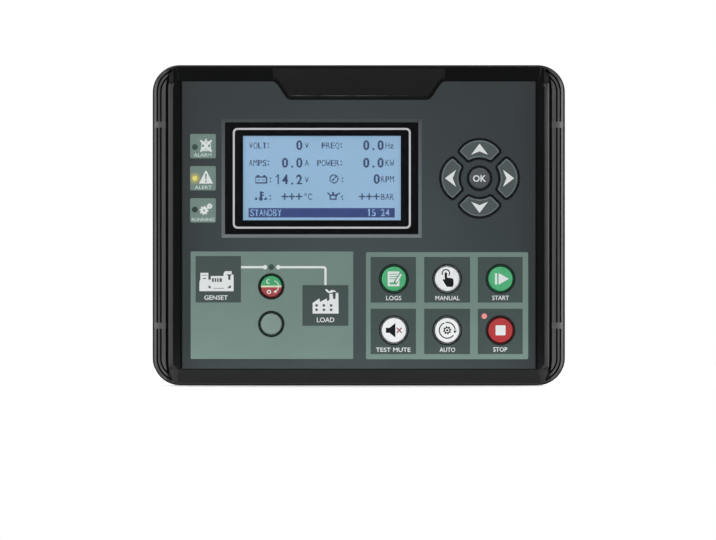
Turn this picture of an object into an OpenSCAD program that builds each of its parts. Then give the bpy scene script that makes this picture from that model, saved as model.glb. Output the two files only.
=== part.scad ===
// Panel-mounted generating-set controller.
// Frame: x to the right, z up, y backwards. The panel that carries the controller has its front
// face on y = 0, so the bezel stands in front of it (negative y) and the rear housing behind it.
// Depths called "..._d" are distances in front of the panel.

/* [Bezel] */
// Width of the bezel
body_w = 197; // [192:1:215]
// Height of the bezel
body_h = 153; // [149:1:170]
// Radius of the bezel's corners
corner_r = 13; // [9:0.5:16]
// Width of each side of the bezel, from the outside to the fascia
side_w = 14.5; // [14:0.1:16]
// Height of the plain bands above and below the fascia
band_h = 7.7; // [7:0.1:9]
// Depth of the bands in front of the panel
band_d = 14; // [13.6:0.1:15]
// How much lower the bands are beside the fascia than at the outside
band_slope = 0.8; // [0.1:0.1:1]
// Depth of the crest of the two side ridges
ridge_d = 15.2; // [14.8:0.1:16.5]
// Width of the low ledge round the bezel's foot
ledge_w = 0.95; // [0.5:0.05:1.2]
// Depth of that ledge in front of the panel
ledge_d = 4; // [2.5:0.1:6]
// Distance from the bezel's side to a ridge's crest
ridge_from_side = 10; // [9.6:0.1:10.4]
// Radius of the ridges' round outer side
ridge_r = 2.3; // [1.8:0.1:2.4]
// Radius of the round shoulder that carries the fins
shoulder_r = 9; // [8:0.1:9.5]
// Thickness of the wall behind the fascia
wall_t = 2; // [1.6:0.1:2.4]
// Depth of the wall's front face
wall_d = 11.8; // [11.4:0.1:12.2]
// Length over which a ridge sinks into the bands at each end
ridge_fade = 4; // [2:0.5:10]

/* [Fins] */
// Width of the two outer grooves between the fins
groove_w = 0.8; // [0.5:0.05:1]
// Width of the inner groove beside the ridge
ridge_groove_w = 1.3; // [0.9:0.05:1.5]
// Distance from the bezel's side to the first groove's middle
groove_1 = 2.4; // [2:0.1:2.7]
// Distance from the bezel's side to the second groove's middle
groove_2 = 4.15; // [3.8:0.1:4.6]
// Distance from the bezel's side to the inner groove's middle
groove_3 = 7.1; // [6.6:0.1:7.4]
// Depth of the grooves below the shoulder
groove_cut = 2; // [1:0.1:2.4]
// Height of the ties that cross the outer grooves
tie_h = 2.9; // [2:0.1:5]
// Distance from the body's top and bottom to the ties' middle
tie_from_end = 28.6; // [24:0.2:36]

/* [Tongue] */
// Width of the tongue where it leaves the top band
tongue_root_w = 82; // [60:1:100]
// Width of the tongue's straight lower edge
tongue_tip_w = 64.8; // [40:0.2:70]
// How far the tongue reaches down over the fascia
tongue_h = 8.8; // [5:0.1:10]
// Width of the tongue's sloping edge
tongue_bevel = 1.4; // [0.5:0.1:2]
// Height of the bare pad raised on the tongue
pad_rise = 0.3; // [0.2:0.05:0.6]

/* [Fascia] */
// Thickness of the fascia sheet
fascia_t = 1.2; // [0.8:0.1:1.4]
// Gap between the fascia's edge and the bezel
fascia_gap = 0.4; // [0.2:0.05:0.6]
// Width of the sloping edge round the display window
window_bevel = 1.6; // [0.8:0.1:2]

/* [Display] */
// Distance from the fascia's left edge to the window
window_from_left = 20.2; // [19:0.2:22]
// Distance from the fascia's right edge to the window
window_from_right = 55.6; // [54:0.2:60]
// Distance from the fascia's top edge to the window
window_from_top = 19.8; // [18:0.2:22]
// Distance from the fascia's lower edge to the window
window_from_bottom = 64.4; // [62:0.2:68]
// Thickness of the window pane
pane_t = 1.3; // [1:0.1:1.4]
// How far the pane reaches under the fascia on each side
pane_lap = 1.6; // [1:0.1:2]
// Distance from the window's sides to the display's viewing area
view_from_side = 8.6; // [7.6:0.1:11]
// Distance from the window's top and bottom to the display's viewing area
view_from_end = 6.6; // [6:0.1:8.6]
// Border of the display module's frame round the viewing area
lcd_border = 6; // [4.5:0.1:6.5]
// Sheet thickness of the display module's frame
lcd_sheet = 0.4; // [0.3:0.05:0.5]
// Thickness of the display glass
lcd_glass_t = 1.6; // [1.2:0.1:1.8]

/* [Keys] */
// Radius of the six function keys
function_key_r = 5.85; // [5:0.05:6.5]
// Radius of the two breaker keys
breaker_key_r = 5; // [4.5:0.05:5.8]
// Radius of the OK key
ok_key_r = 5.05; // [4.5:0.05:5.4]
// Gap between a key and its aperture
key_gap = 0.7; // [0.4:0.05:0.8]
// How far the keys stand proud of the fascia
key_proud = 1.4; // [1.2:0.1:2]
// Travel of a key
key_travel = 1.1; // [0.8:0.05:1.15]
// Rounding of the round keys' edges
key_edge_r = 0.8; // [0.3:0.05:1]
// How far a key's flange reaches past its head
key_flange = 1.5; // [1.2:0.05:1.6]
// Thickness of a key's flange
key_flange_t = 1.2; // [0.8:0.05:1.3]
// Radius of the contact pill under a key
pill_r = 2.4; // [1.5:0.1:3]
// Distance between the function keys' columns
function_pitch_x = 25.4; // [23:0.1:26]
// Distance between the function keys' rows
function_pitch_z = 24.5; // [20:0.1:26]
// Distance from the fascia's right edge to the last column of function keys
function_from_right = 16.5; // [15.5:0.1:18]
// Distance from the fascia's lower edge to the lower row of function keys
function_from_bottom = 18.7; // [17:0.1:20]
// Distance from the fascia's left edge to the breaker keys
breaker_from_left = 42.3; // [36:0.2:46]
// Distance from the fascia's lower edge to the lower breaker key
breaker_from_bottom = 21.7; // [18:0.2:24]
// Distance between the two breaker keys
breaker_pitch = 17.9; // [16:0.1:20]

/* [Navigation pad] */
// Distance from the fascia's right edge to the middle of the pad
nav_from_right = 26.5; // [25.5:0.1:28]
// Distance from the pad's middle to the outer edge of an arrow key
nav_reach = 18.2; // [17.5:0.1:19]
// Distance from the pad's middle to the inner edge of an arrow key
nav_inner_r = 9.9; // [9.6:0.1:10.5]
// Radius of an arrow key's outer edge
nav_lobe_r = 11.2; // [10.8:0.1:14]
// Distance from an arrow key's slanting sides to the pad's diagonals
nav_side = 2.15; // [2.1:0.05:2.6]
// Radius of an arrow key's corners
nav_corner_r = 0.9; // [0.6:0.1:1.4]

/* [Indicator lamps] */
// Radius of the lamps' lenses
lamp_r = 1.3; // [1.2:0.05:1.8]
// How far the lenses stand proud of the fascia
lamp_proud = 0.25; // [0.1:0.05:0.6]
// Distance from the fascia's left edge to the column of status lamps
status_from_left = 5.9; // [5.2:0.1:7]
// Distance between the status lamps
status_pitch = 14.9; // [12:0.1:16]
// Height of the breaker lamp above the upper breaker key
breaker_lamp_rise = 9.2; // [8.8:0.1:11]
// Distance from the stop key's middle to its lamp, sideways
stop_lamp_x = 7.7; // [7.4:0.1:8.4]
// Distance from the stop key's middle to its lamp, upwards
stop_lamp_z = 6.7; // [6.2:0.1:7.2]

/* [Rear housing] */
// Distance from the bezel's sides to the edge of the panel cut-out
cutout_from_side = 5.5; // [4.8:0.1:6.5]
// Distance from the bezel's top and bottom to the edge of the panel cut-out
cutout_from_end = 6; // [5.2:0.1:7]
// Clearance of the housing in the cut-out, all round
cutout_gap = 0.8; // [0.5:0.1:1.2]
// Wall of the rear housing
shell_t = 2.2; // [1.8:0.1:2.6]
// Depth of the terminal ledges behind the panel
ledge_y = 20; // [18:0.5:24]
// Depth of the rear housing's middle behind the panel
rear_y = 33; // [30:0.5:40]
// Height of the housing's raised middle
middle_h = 92; // [80:1:98]
// Depth of the bare field sunk in the housing's back
field_d = 0.6; // [0.3:0.1:0.8]
// Distance from the raised middle's edges to the sunk field
field_inset = 7; // [5:0.5:9]
// Number of vent slots in each group on the back
vent_n = 9; // [5:1:11]
// Distance between vent slots
vent_pitch = 4; // [3:0.1:4.4]
// Width of a vent slot
vent_w = 1.6; // [1:0.1:2]
// Length of a vent slot
vent_h = 24; // [12:1:26]
// Depth of a vent slot under the sunk field
vent_d = 1; // [0.6:0.1:1.1]
// Thickness of the panel that the clips are set for
panel_t = 3; // [2.2:0.1:6]
// Thickness of the panel seal
seal_t = 2; // [1.6:0.1:3]
// How far the seal stands out of the bezel's flange
seal_proud = 0.8; // [0.4:0.1:1.2]

/* [Terminals] */
// Distance between the ways of a terminal plug
way_pitch = 5.08; // [5:0.01:5.08]
// Height of a terminal plug, across its row
plug_h = 12; // [11:0.1:14]
// Depth of a terminal plug behind its ledge
plug_d = 14.2; // [12:0.1:16]
// Wall of a plug outside its last way
plug_end = 1.2; // [0.8:0.1:1.6]
// Side of a wire entry
wire_w = 3.4; // [2.6:0.1:3.8]

/* [Boards] */
// Thickness of the circuit boards
board_t = 1.6; // [1.2:0.1:2]
// Depth of the key board's front face
key_board_d = 6.8; // [6.6:0.1:7]
// Distance of the main board's front face behind the panel
main_board_y = 8; // [6:0.5:8.5]

/* [Hidden] */
$fn = 64;

// Clearances
slip = 0.3;
touch = 0.05;
over = 1;

// Bezel, fascia and their edges in the front view
half_w = body_w / 2;
half_h = body_h / 2;
cutout_w = body_w - 2 * cutout_from_side;
cutout_h = body_h - 2 * cutout_from_end;
flange_d = seal_proud;
shoulder_d = band_d - 0.5 - shoulder_r;
ridge_x = half_w - ridge_from_side;
band_edge_r = 0.5;
fascia_w = body_w - 2 * side_w;
fascia_h = body_h - 2 * band_h;
fascia_left = -fascia_w / 2;
fascia_right = fascia_w / 2;
fascia_top = fascia_h / 2;
fascia_bottom = -fascia_h / 2;
fascia_d = wall_d + fascia_t;
wall_back_d = wall_d - wall_t;
cavity_w = cutout_w - 2 * cutout_gap + 2 * slip;
cavity_h = cutout_h - 2 * cutout_gap + 2 * slip;
ridge_groove_bend_r = 26;
ridge_groove_bend = 24;
groove_1_bend = 70;
groove_2_bend = 54;

// Display
window_w = fascia_w - window_from_left - window_from_right;
window_h = fascia_h - window_from_top - window_from_bottom;
view_w = window_w - 2 * view_from_side;
view_h = window_h - 2 * view_from_end;
window_x = fascia_left + window_from_left + window_w / 2;
window_z = fascia_top - window_from_top - window_h / 2;
pane_w = window_w + 2 * pane_lap;
pane_h = window_h + 2 * pane_lap;
lcd_w = view_w + 2 * lcd_border;
lcd_h = view_h + 2 * lcd_border;
sight_w = view_w + 3;
sight_h = view_h + 3;

// Keys
key_head_d = fascia_d + key_proud;
key_flange_back_d = wall_back_d - key_flange_t;
contact_t = 0.1;
pill_d = key_board_d + contact_t + touch + key_travel;
function_x = [for (c = [0:2]) fascia_right - function_from_right - (2 - c) * function_pitch_x];
function_z = [for (r = [0:1]) fascia_bottom + function_from_bottom + (1 - r) * function_pitch_z];
breaker_x = fascia_left + breaker_from_left;
breaker_z = [for (r = [0:1]) fascia_bottom + breaker_from_bottom + (1 - r) * breaker_pitch];
nav_x = fascia_right - nav_from_right;
nav_z = window_z;
nav_angles = [0, 90, 180, 270];
round_keys = concat(
    [for (z = function_z) for (x = function_x) [x, z, function_key_r]],
    [for (z = breaker_z) [breaker_x, z, breaker_key_r]],
    [[nav_x, nav_z, ok_key_r]]
);

// Lamps, each as x and z
status_x = fascia_left + status_from_left;
lamp_places = [
    [status_x, window_z + status_pitch],
    [status_x, window_z],
    [status_x, window_z - status_pitch],
    [breaker_x, breaker_z[0] + breaker_lamp_rise],
    [function_x[2] - stop_lamp_x, function_z[1] + stop_lamp_z]
];
lamp_collar = 0.8;
lamp_collar_t = 0.8;
lamp_back_d = wall_back_d - lamp_collar_t;
chip_t = 0.9;
chip_w = 2;

// Boards and what fixes them
key_board_w = fascia_w - 8;
key_board_h = fascia_h - 9.4;
key_board_back_y = -key_board_d + board_t;
boss_r = 3;
pilot_r = 1.1;
screw_r = 1.25;
screw_head_r = 2.4;
screw_head_t = 1.6;
boss_x = key_board_w / 2 - 4;
boss_z = key_board_h / 2 - 4;
main_board_w = cutout_w - 2 * cutout_gap - 2 * shell_t - 18;
main_board_h = cutout_h - 2 * cutout_gap - 2 * shell_t - 3;
main_board_back_y = main_board_y + board_t;
main_screw_bite = 4;
post_x = main_board_w / 2 - 4;
post_z = middle_h / 2 - shell_t - 6;
link_w = 52;
link_h = 6;
link_z = -14;
parts_x = -main_board_w / 2 + 15;
relay_w = 18.5;
relay_h = 15;
relay_d = 15;
relay_pitch = 21;
relay_z = 26;
capacitor_r = 5;
capacitor_d = 16;
capacitor_pitch = 12;
capacitor_z = -27;
transformer_w = 15;
transformer_d = 14;
transformer_hole_r = 3;
transformer_pitch = 18;
transformer_from_side = 77;
transformer_x = main_board_w / 2 - transformer_from_side;
transformer_z = -28;
battery_r = 10;
battery_t = 3.2;
battery_from_side = 31;
battery_x = main_board_w / 2 - battery_from_side;
battery_z = 4;
processor_w = 14;
processor_t = 1.4;
processor_x = 10;
processor_z = 4;
memory_w = 10;
memory_h = 6;
memory_t = 1.2;
memory_x = -12;
memory_z = 6;

// Rear housing
shell_w = cutout_w - 2 * cutout_gap;
shell_h = cutout_h - 2 * cutout_gap;
shell_r = 4;
shell_front_d = 5.5;
column_r = 4;
column_x = shell_w / 2 - 6.4;
column_z = shell_h / 2 - 6.4;
column_front_d = 2.5;
column_screw_r = 1.5;
column_head_r = 2.4;
column_head_t = 2;
column_floor_t = 3;

// Clips
clip_z = 40;
clip_h = 12;
clip_t = 1.5;
clip_ear_t = 2.5;
clip_ear_y = ledge_y - 4;
clip_back_y = ledge_y - 1.5;
clip_foot_y = 8;
clip_hook_h = 7;
clip_hook_t = 2;
clip_screw_r = 1.5;
clip_tip_r = 2.2;
clip_screw_x = shell_w / 2 + clip_t + clip_tip_r;
clip_head_r = 2.2;
clip_head_t = 2;

// Terminals: each row lists its plugs' numbers of ways, from left to right, which follow the housing's width
plug_space = 6;
column_space = 6.2;
row_run = 2 * (column_x - column_r - column_space) - 2 * plug_space - 6 * plug_end;
row_ways = row_run / way_pitch;
top_ways = [floor(0.465 * row_ways), floor(0.315 * row_ways), floor(0.235 * row_ways)];
bottom_ways = [floor(0.395 * row_ways), floor(0.315 * row_ways), floor(0.205 * row_ways)];
plug_z = middle_h / 2 + (shell_h - middle_h) / 4 + 0.4;
nose_h = 7;
nose_d = 7.4;
header_wall = 1;
header_floor_t = 2.2;
pin_w = 1;
pin_hole_w = 1.5;
screw_well_r = 1.95;
terminal_screw_r = 1.75;
terminal_screw_t = 2.4;
wire_cut = 6;
screw_slot_w = 0.6;
function plug_w(ways) = ways * way_pitch + 2 * plug_end;
function row_w(row, n) = n == 0 ? 0 : row_w(row, n - 1) + plug_w(row[n - 1]) + plug_space;
function plug_x(row, n) = row_w(row, n) + plug_w(row[n]) / 2 - (row_w(row, len(row)) - plug_space) / 2;

// USB socket
usb_w = 12;
usb_h = 11;
usb_z = -30;
usb_from_side = 21;
usb_x = main_board_w / 2 - usb_from_side;

// Middle of a group of vent slots on the back
vent_from_side = 36;
vent_from_field = 20;
vent_x = shell_w / 2 - vent_from_side;
vent_z = middle_h / 2 - field_inset - vent_from_field;
field_r = 4;
usb_t = 0.6;
usb_mouth_w = 8.6;
usb_mouth_h = 7.9;
usb_depth = 9;
usb_tongue_w = 5.6;
usb_tongue_h = 3.2;

// Extrudes an outline drawn in the front view from one depth to another
module from_depth(front_d, back_d)
    translate([0, -back_d, 0]) rotate([90, 0, 0]) linear_extrude(front_d - back_d) children();

// Extrudes an outline drawn in the front view between two positions behind the panel
module behind(y0, y1)
    translate([0, y1, 0]) rotate([90, 0, 0]) linear_extrude(y1 - y0) children();

// A cylinder whose axis runs from back to front
module rod(r, y0, y1)
    translate([0, y0, 0]) rotate([-90, 0, 0]) cylinder(r = r, h = y1 - y0);

module at(x, z)
    translate([x, 0, z]) children();

module at2(x, z)
    translate([x, z]) children();

module four(x, z)
    for (sx = [-1, 1]) for (sz = [-1, 1]) at(sx * x, sz * z) children();

module rounded(w, h, r) {
    square([w - 2 * r, h], center = true);
    square([w, h - 2 * r], center = true);
    for (sx = [-1, 1]) for (sz = [-1, 1]) translate([sx * (w / 2 - r), sz * (h / 2 - r)]) circle(r);
}

// The plan section of one side of the bezel: base, round shoulder and ridge
module side_section() {
    inner = half_w - side_w - 2;
    translate([inner, -shoulder_d]) square([half_w - inner, shoulder_d - flange_d]);
    translate([inner, -wall_d]) square([half_w - shoulder_r - inner, wall_d - flange_d]);
    intersection() {
        translate([half_w - shoulder_r, -shoulder_d]) circle(shoulder_r);
        translate([half_w - shoulder_r - over, -band_d]) square([shoulder_r + over, band_d - flange_d]);
    }
    ridge_section();
}

// The section of a ridge: round outside, with a straight slope down to the fascia
module ridge_section() {
    foot_x = half_w - side_w + fascia_gap + touch;
    centre_d = ridge_d - ridge_r;
    polygon(concat(
        [[ridge_x + ridge_r, -flange_d - over]],
        [for (a = [0:10:90]) [ridge_x + ridge_r * cos(a), -centre_d - ridge_r * sin(a)]],
        [[foot_x, -wall_d - 0.3], [foot_x, -flange_d - over]]
    ));
}

// The side view that trims the ridges' ends and rounds the bands' outer edges
function band_edge() = [
    for (a = [0:15:90])
        [half_h - ledge_w - band_edge_r * (1 - cos(a)), -band_d + band_edge_r * (1 - sin(a))]
];
function ridge_end() = [
    for (i = [10:-1:0]) let (t = i / 10)
        [fascia_top - ridge_fade * (1 - t), -ridge_d - 0.1 + (ridge_d + 0.1 - band_d + band_slope) * t * t]
];
module end_section() {
    foot = [[half_h + over, 0], [half_h + over, -band_d + band_edge_r]];
    upper = concat(foot, band_edge(), ridge_end());
    lower = [for (i = [len(upper) - 1:-1:0]) [-upper[i][0], upper[i][1]]];
    polygon(concat(upper, lower));
}

// The section of the upper band, which slopes down to the fascia
module band_section()
    polygon([
        [fascia_top, -flange_d], [half_h, -flange_d],
        [half_h, -band_d], [fascia_top, -band_d + band_slope]
    ]);

// The outline of the grooves on the right-hand side, in the front view
module groove_run(inset, w, bend_r, bend) {
    x = half_w - inset;
    straight = half_h - corner_r;
    translate([x - w / 2, -straight]) square([w, 2 * straight]);
    for (s = [-1, 1]) intersection() {
        translate([x - bend_r, s * straight]) difference() {
            circle(bend_r + w / 2, $fn = 128);
            circle(bend_r - w / 2, $fn = 128);
        }
        translate([x - bend_r, s * straight])
            polygon([[0, 0], [2 * bend_r, 0], [2 * bend_r * cos(bend), s * 2 * bend_r * sin(bend)]]);
    }
}

module fin_grooves() {
    reach_1 = shoulder_d + sqrt(pow(shoulder_r, 2) - pow(shoulder_r - groove_1, 2));
    reach_2 = shoulder_d + sqrt(pow(shoulder_r, 2) - pow(shoulder_r - groove_2, 2));
    reach_3 = shoulder_d + sqrt(pow(shoulder_r, 2) - pow(shoulder_r - groove_3, 2));
    from_depth(ridge_d + over, reach_1 - groove_cut) difference() {
        groove_run(groove_1, groove_w, corner_r - groove_1, groove_1_bend);
        ties();
    }
    from_depth(ridge_d + over, reach_2 - groove_cut) difference() {
        groove_run(groove_2, groove_w, corner_r - groove_2, groove_2_bend);
        ties();
    }
    from_depth(ridge_d + over, reach_3 - groove_cut)
        groove_run(groove_3, ridge_groove_w, ridge_groove_bend_r, ridge_groove_bend);
}

// The strips that are left across the two outer grooves
module ties()
    for (s = [-1, 1])
        translate([half_w - side_w / 2, s * (half_h - tie_from_end)]) square([side_w, tie_h], center = true);

// The tongue's lower edge, from left to right: a raised-cosine ramp at each end
tongue_steps = 12;
tongue_run = (tongue_root_w - tongue_tip_w) / 2;
function tongue_ramp(t) = fascia_top - tongue_h * (1 + cos(180 * t)) / 2;
function tongue_edge(inset) = concat(
    [for (i = [tongue_steps:-1:0]) let (t = i / tongue_steps) tongue_point(-1, t, inset)],
    [for (i = [0:tongue_steps]) let (t = i / tongue_steps) tongue_point(1, t, inset)]
);
function tongue_point(side, t, inset) =
    let (slope = tongue_h * PI / 2 * sin(180 * t) / tongue_run, n = sqrt(1 + slope * slope))
    [side * (tongue_tip_w / 2 + tongue_run * t - inset * slope / n), tongue_ramp(t) + inset / n];

// The tongue's outline, closed inside the top band
module tongue_outline(inset) {
    top = half_h - ledge_w - band_edge_r - 0.4;
    edge = tongue_edge(inset);
    polygon(concat([[-edge[len(edge) - 1][0], top]], edge, [[edge[len(edge) - 1][0], top]]));
}

// The tongue as a solid with a sloping edge: a loft between its outline and the inset outline
module tongue() {
    top = half_h - ledge_w - band_edge_r - 0.4;
    low = tongue_edge(0);
    high = tongue_edge(tongue_bevel);
    n = len(low) + 2;
    low_ring = concat([[-tongue_root_w / 2, top]], low, [[tongue_root_w / 2, top]]);
    high_ring = concat([[-tongue_root_w / 2, top]], high, [[tongue_root_w / 2, top]]);
    points = concat(
        [for (p = low_ring) [p[0], -wall_d + over / 2, p[1]]],
        [for (p = low_ring) [p[0], -fascia_d, p[1]]],
        [for (p = high_ring) [p[0], -band_d, p[1]]]
    );
    sides = [for (k = [0, n]) for (i = [0:n - 1]) let (j = (i + 1) % n) [k + i, k + n + i, k + n + j, k + j]];
    polyhedron(points, concat(sides, [[for (i = [0:n - 1]) i]], [[for (i = [n - 1:-1:0]) 2 * n + i]]));
}

// The bare pad on the tongue, with round lower corners
module tongue_pad() {
    w = tongue_tip_w - 2 * tongue_bevel;
    bottom = fascia_top - tongue_h + tongue_bevel + 0.9;
    top = half_h - ledge_w - band_edge_r - 1;
    from_depth(band_d + pad_rise, band_d - over)
        translate([0, (top + bottom) / 2]) rounded(w, top - bottom, 3);
}

// One arrow key of the navigation pad, pointing up, grown all round by a margin
module arrow_outline(grow) {
    lobe_z = nav_reach - nav_lobe_r;
    offset(r = nav_corner_r + grow) offset(delta = -nav_corner_r) difference() {
        intersection() {
            translate([0, lobe_z]) circle(nav_lobe_r, $fn = 96);
            translate([0, nav_side * sqrt(2)]) rotate(45) square(2 * nav_reach);
        }
        circle(nav_inner_r, $fn = 96);
    }
}

module arrow_outlines(grow)
    for (a = nav_angles) translate([nav_x, nav_z]) rotate(a) arrow_outline(grow);

// Everything that passes through the fascia and the wall behind it
module control_holes() {
    for (k = round_keys) translate([k[0], k[1]]) circle(k[2] + key_gap);
    for (p = lamp_places) translate(p) circle(lamp_r + touch);
    arrow_outlines(key_gap);
}

module front_bezel() color("#1b1c1e") {
    difference() {
        union() {
            intersection() {
                union() {
                    from_depth(ledge_d, flange_d) rounded(body_w, body_h, corner_r);
                    from_depth(ridge_d + over, flange_d)
                        rounded(body_w - 2 * ledge_w, body_h - 2 * ledge_w, corner_r - ledge_w);
                }
                rotate([0, -90, 0]) linear_extrude(body_w + 2 * over, center = true) end_section();
                union() {
                    from_depth(wall_d, flange_d) square([2 * ridge_x, body_h], center = true);
                    for (s = [0, 1]) mirror([0, 0, s])
                        rotate([0, -90, 0]) linear_extrude(2 * ridge_x, center = true) band_section();
                    for (s = [0, 1]) mirror([s, 0, 0])
                        linear_extrude(body_h + 2 * over, center = true) side_section();
                }
            }
            tongue();
            tongue_pad();
        }
        fascia_recess();
        from_depth(wall_back_d, flange_d - over) rounded(cavity_w, cavity_h, shell_r + slip);
        from_depth(flange_d + seal_t - seal_proud, flange_d - over) seal_outline();
        for (s = [0, 1]) mirror([s, 0, 0]) fin_grooves();
        from_depth(wall_d + over, wall_back_d - over) control_holes();
        from_depth(wall_d + over, wall_d - pane_t) at2(window_x, window_z)
            square([pane_w + 2 * touch, pane_h + 2 * touch], center = true);
        from_depth(wall_d, wall_back_d - over) at2(window_x, window_z)
            square([sight_w, sight_h], center = true);
    }
    four(boss_x, boss_z) difference() {
        rod(boss_r, -wall_back_d - touch, -key_board_d);
        rod(pilot_r, -wall_back_d + over, -key_board_d + over);
    }
    four(column_x, column_z) difference() {
        rod(column_r, -wall_back_d - touch, -column_front_d);
        rod(column_screw_r - 0.25, -wall_back_d + over, -column_front_d + over);
    }
}

// The space in front of the wall that the fascia fills, between the bands, the ridges and the tongue
module fascia_recess()
    from_depth(ridge_d + 2 * over, wall_d) difference() {
        square([fascia_w + 2 * fascia_gap, fascia_h], center = true);
        tongue_outline(0);
    }

module fascia() color("#414d4e") difference() {
    from_depth(fascia_d, wall_d) difference() {
        square([fascia_w, fascia_h - 2 * fascia_gap], center = true);
        tongue_outline(-fascia_gap);
        control_holes();
    }
    window_slope();
}

// The opening round the display window: straight-sided at the pane and sloping outwards to the front
module window_slope() {
    out = window_bevel * (fascia_t + 2 * over) / fascia_t;
    translate([window_x, 0, window_z]) intersection() {
        linear_extrude(2 * window_h, center = true) slope_section(window_w, out);
        rotate([0, -90, 0]) linear_extrude(2 * window_w, center = true) slope_section(window_h, out);
    }
}

module slope_section(w, out) {
    rise = out * over / (fascia_t + 2 * over);
    polygon([
        [-w / 2 + rise, -wall_d + over], [w / 2 - rise, -wall_d + over],
        [w / 2 + out - rise, -fascia_d - over], [-w / 2 - out + rise, -fascia_d - over]
    ]);
}

module window_pane() color("#0b0d10", 0.5)
    from_depth(wall_d, wall_d - pane_t) at2(window_x, window_z) square([pane_w, pane_h], center = true);

module seal_outline() {
    difference() {
        rounded(body_w - 2.4, body_h - 2.4, corner_r - 1.2);
        rounded(cavity_w + 1.6, cavity_h + 1.6, shell_r + slip + 0.8);
    }
}

module panel_seal() color("#2a2b2c")
    behind(-seal_t, 0) difference() {
        rounded(body_w - 2.4 - 2 * touch, body_h - 2.4 - 2 * touch, corner_r - 1.2 - touch);
        rounded(cavity_w + 1.6 + 2 * touch, cavity_h + 1.6 + 2 * touch, shell_r + slip + 0.8 + touch);
    }

// A round key: head with a rounded edge, flange behind the wall and contact pill
module round_key(x, z, r) at(x, z) rotate([90, 0, 0]) rotate_extrude() {
    translate([0, key_flange_back_d]) square([r + key_flange, key_flange_t]);
    translate([0, pill_d]) square([pill_r, key_flange_back_d - pill_d + touch]);
    translate([0, wall_back_d - touch]) square([r, key_head_d - key_edge_r - wall_back_d + touch]);
    translate([0, wall_back_d]) square([r - key_edge_r, key_head_d - wall_back_d]);
    translate([r - key_edge_r, key_head_d - key_edge_r]) circle(key_edge_r);
}

module arrow_key(angle) color("#4d595a") at(nav_x, nav_z) rotate([0, -angle, 0]) {
    from_depth(key_head_d, wall_back_d - touch) arrow_outline(0);
    from_depth(wall_back_d, key_flange_back_d) arrow_outline(key_flange);
    at(0, (nav_reach + nav_inner_r) / 2) rod(pill_r, -key_flange_back_d - touch, -pill_d);
}

module function_key(col, row, tint) color(tint)
    round_key(function_x[col], function_z[row], function_key_r);

module breaker_key(row, tint) color(tint)
    round_key(breaker_x, breaker_z[row], breaker_key_r);

module ok_key() color("#3d4145") round_key(nav_x, nav_z, ok_key_r);

// A lens that carries a lamp's light through the wall and the fascia
module lamp(n, tint) color(tint) at(lamp_places[n][0], lamp_places[n][1]) {
    rod(lamp_r, -fascia_d - lamp_proud, -lamp_back_d + touch);
    rod(lamp_r + lamp_collar, -wall_back_d, -lamp_back_d);
}

// The display module: a folded sheet frame round the glass and the backlight
module lcd_frame() color("#a9adb0") difference() {
    from_depth(wall_back_d, key_board_d) at2(window_x, window_z) square([lcd_w, lcd_h], center = true);
    from_depth(wall_back_d - lcd_sheet, key_board_d - over) at2(window_x, window_z)
        square([lcd_w - 2 * lcd_sheet, lcd_h - 2 * lcd_sheet], center = true);
    from_depth(wall_back_d + over, key_board_d) at2(window_x, window_z)
        square([view_w + 2, view_h + 2], center = true);
}

module lcd_glass() color("#8fb1d2")
    from_depth(wall_back_d - lcd_sheet, wall_back_d - lcd_sheet - lcd_glass_t) at2(window_x, window_z)
        square([lcd_w - 2 * lcd_sheet - 2 * slip, lcd_h - 2 * lcd_sheet - 2 * slip], center = true);

module lcd_backlight() color("#f2f4f6")
    from_depth(wall_back_d - lcd_sheet - lcd_glass_t, key_board_d) at2(window_x, window_z)
        square([lcd_w - 2 * lcd_sheet - 2 * slip, lcd_h - 2 * lcd_sheet - 2 * slip], center = true);

module key_board() color("#1d5b3a") difference() {
    behind(-key_board_d, key_board_back_y) square([key_board_w, key_board_h], center = true);
    four(boss_x, boss_z) rod(screw_r + 0.2, -key_board_d - over, key_board_back_y + over);
}

// Gold contact discs on the key board, one under each key
module key_contacts() color("#d6a847") {
    for (k = round_keys) at(k[0], k[1]) rod(pill_r + 0.6, -key_board_d - contact_t, -key_board_d);
    for (a = nav_angles) at(nav_x, nav_z) rotate([0, a, 0])
        at(0, (nav_reach + nav_inner_r) / 2) rod(pill_r + 0.6, -key_board_d - contact_t, -key_board_d);
}

module lamp_chips() color("#f4f1dc")
    for (p = lamp_places)
        from_depth(key_board_d + chip_t, key_board_d) translate(p) square(chip_w, center = true);

// A pan-head screw pointing towards the front, with its head's seat at y
module board_screw(y, length) {
    rod(screw_head_r, y, y + screw_head_t);
    rod(screw_r - 0.2, y - length, y + touch);
}

module key_board_screws() color("#c3c7ca") four(boss_x, boss_z)
    board_screw(key_board_back_y, board_t + 1.8);

module board_link() color("#17181a") at(0, link_z)
    behind(key_board_back_y, main_board_y) square([link_w, link_h], center = true);

module main_board() color("#1d5b3a") difference() {
    behind(main_board_y, main_board_back_y) square([main_board_w, main_board_h], center = true);
    four(post_x, post_z) rod(screw_r + 0.2, main_board_y - over, main_board_back_y + over);
    terminal_rows() pin_holes($ways);
}

module main_board_screws() color("#c3c7ca") four(post_x, post_z) mirror([0, 1, 0])
    board_screw(-main_board_y, board_t + main_screw_bite);

// Square flat-pack chips on the main board's rear face
module processor_chips() color("#202124") {
    at(processor_x, processor_z)
        behind(main_board_back_y, main_board_back_y + processor_t) square(processor_w, center = true);
    for (s = [-1, 1]) at(memory_x, s * memory_z)
        behind(main_board_back_y, main_board_back_y + memory_t) square([memory_w, memory_h], center = true);
}

module relays() color("#22262b")
    for (i = [0:4]) at(parts_x + i * relay_pitch, relay_z)
        behind(main_board_back_y, main_board_back_y + relay_d) square([relay_w, relay_h], center = true);

module capacitors() color("#30343c")
    for (i = [0:3]) at(parts_x + i * capacitor_pitch, capacitor_z)
        rod(capacitor_r, main_board_back_y, main_board_back_y + capacitor_d);

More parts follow.
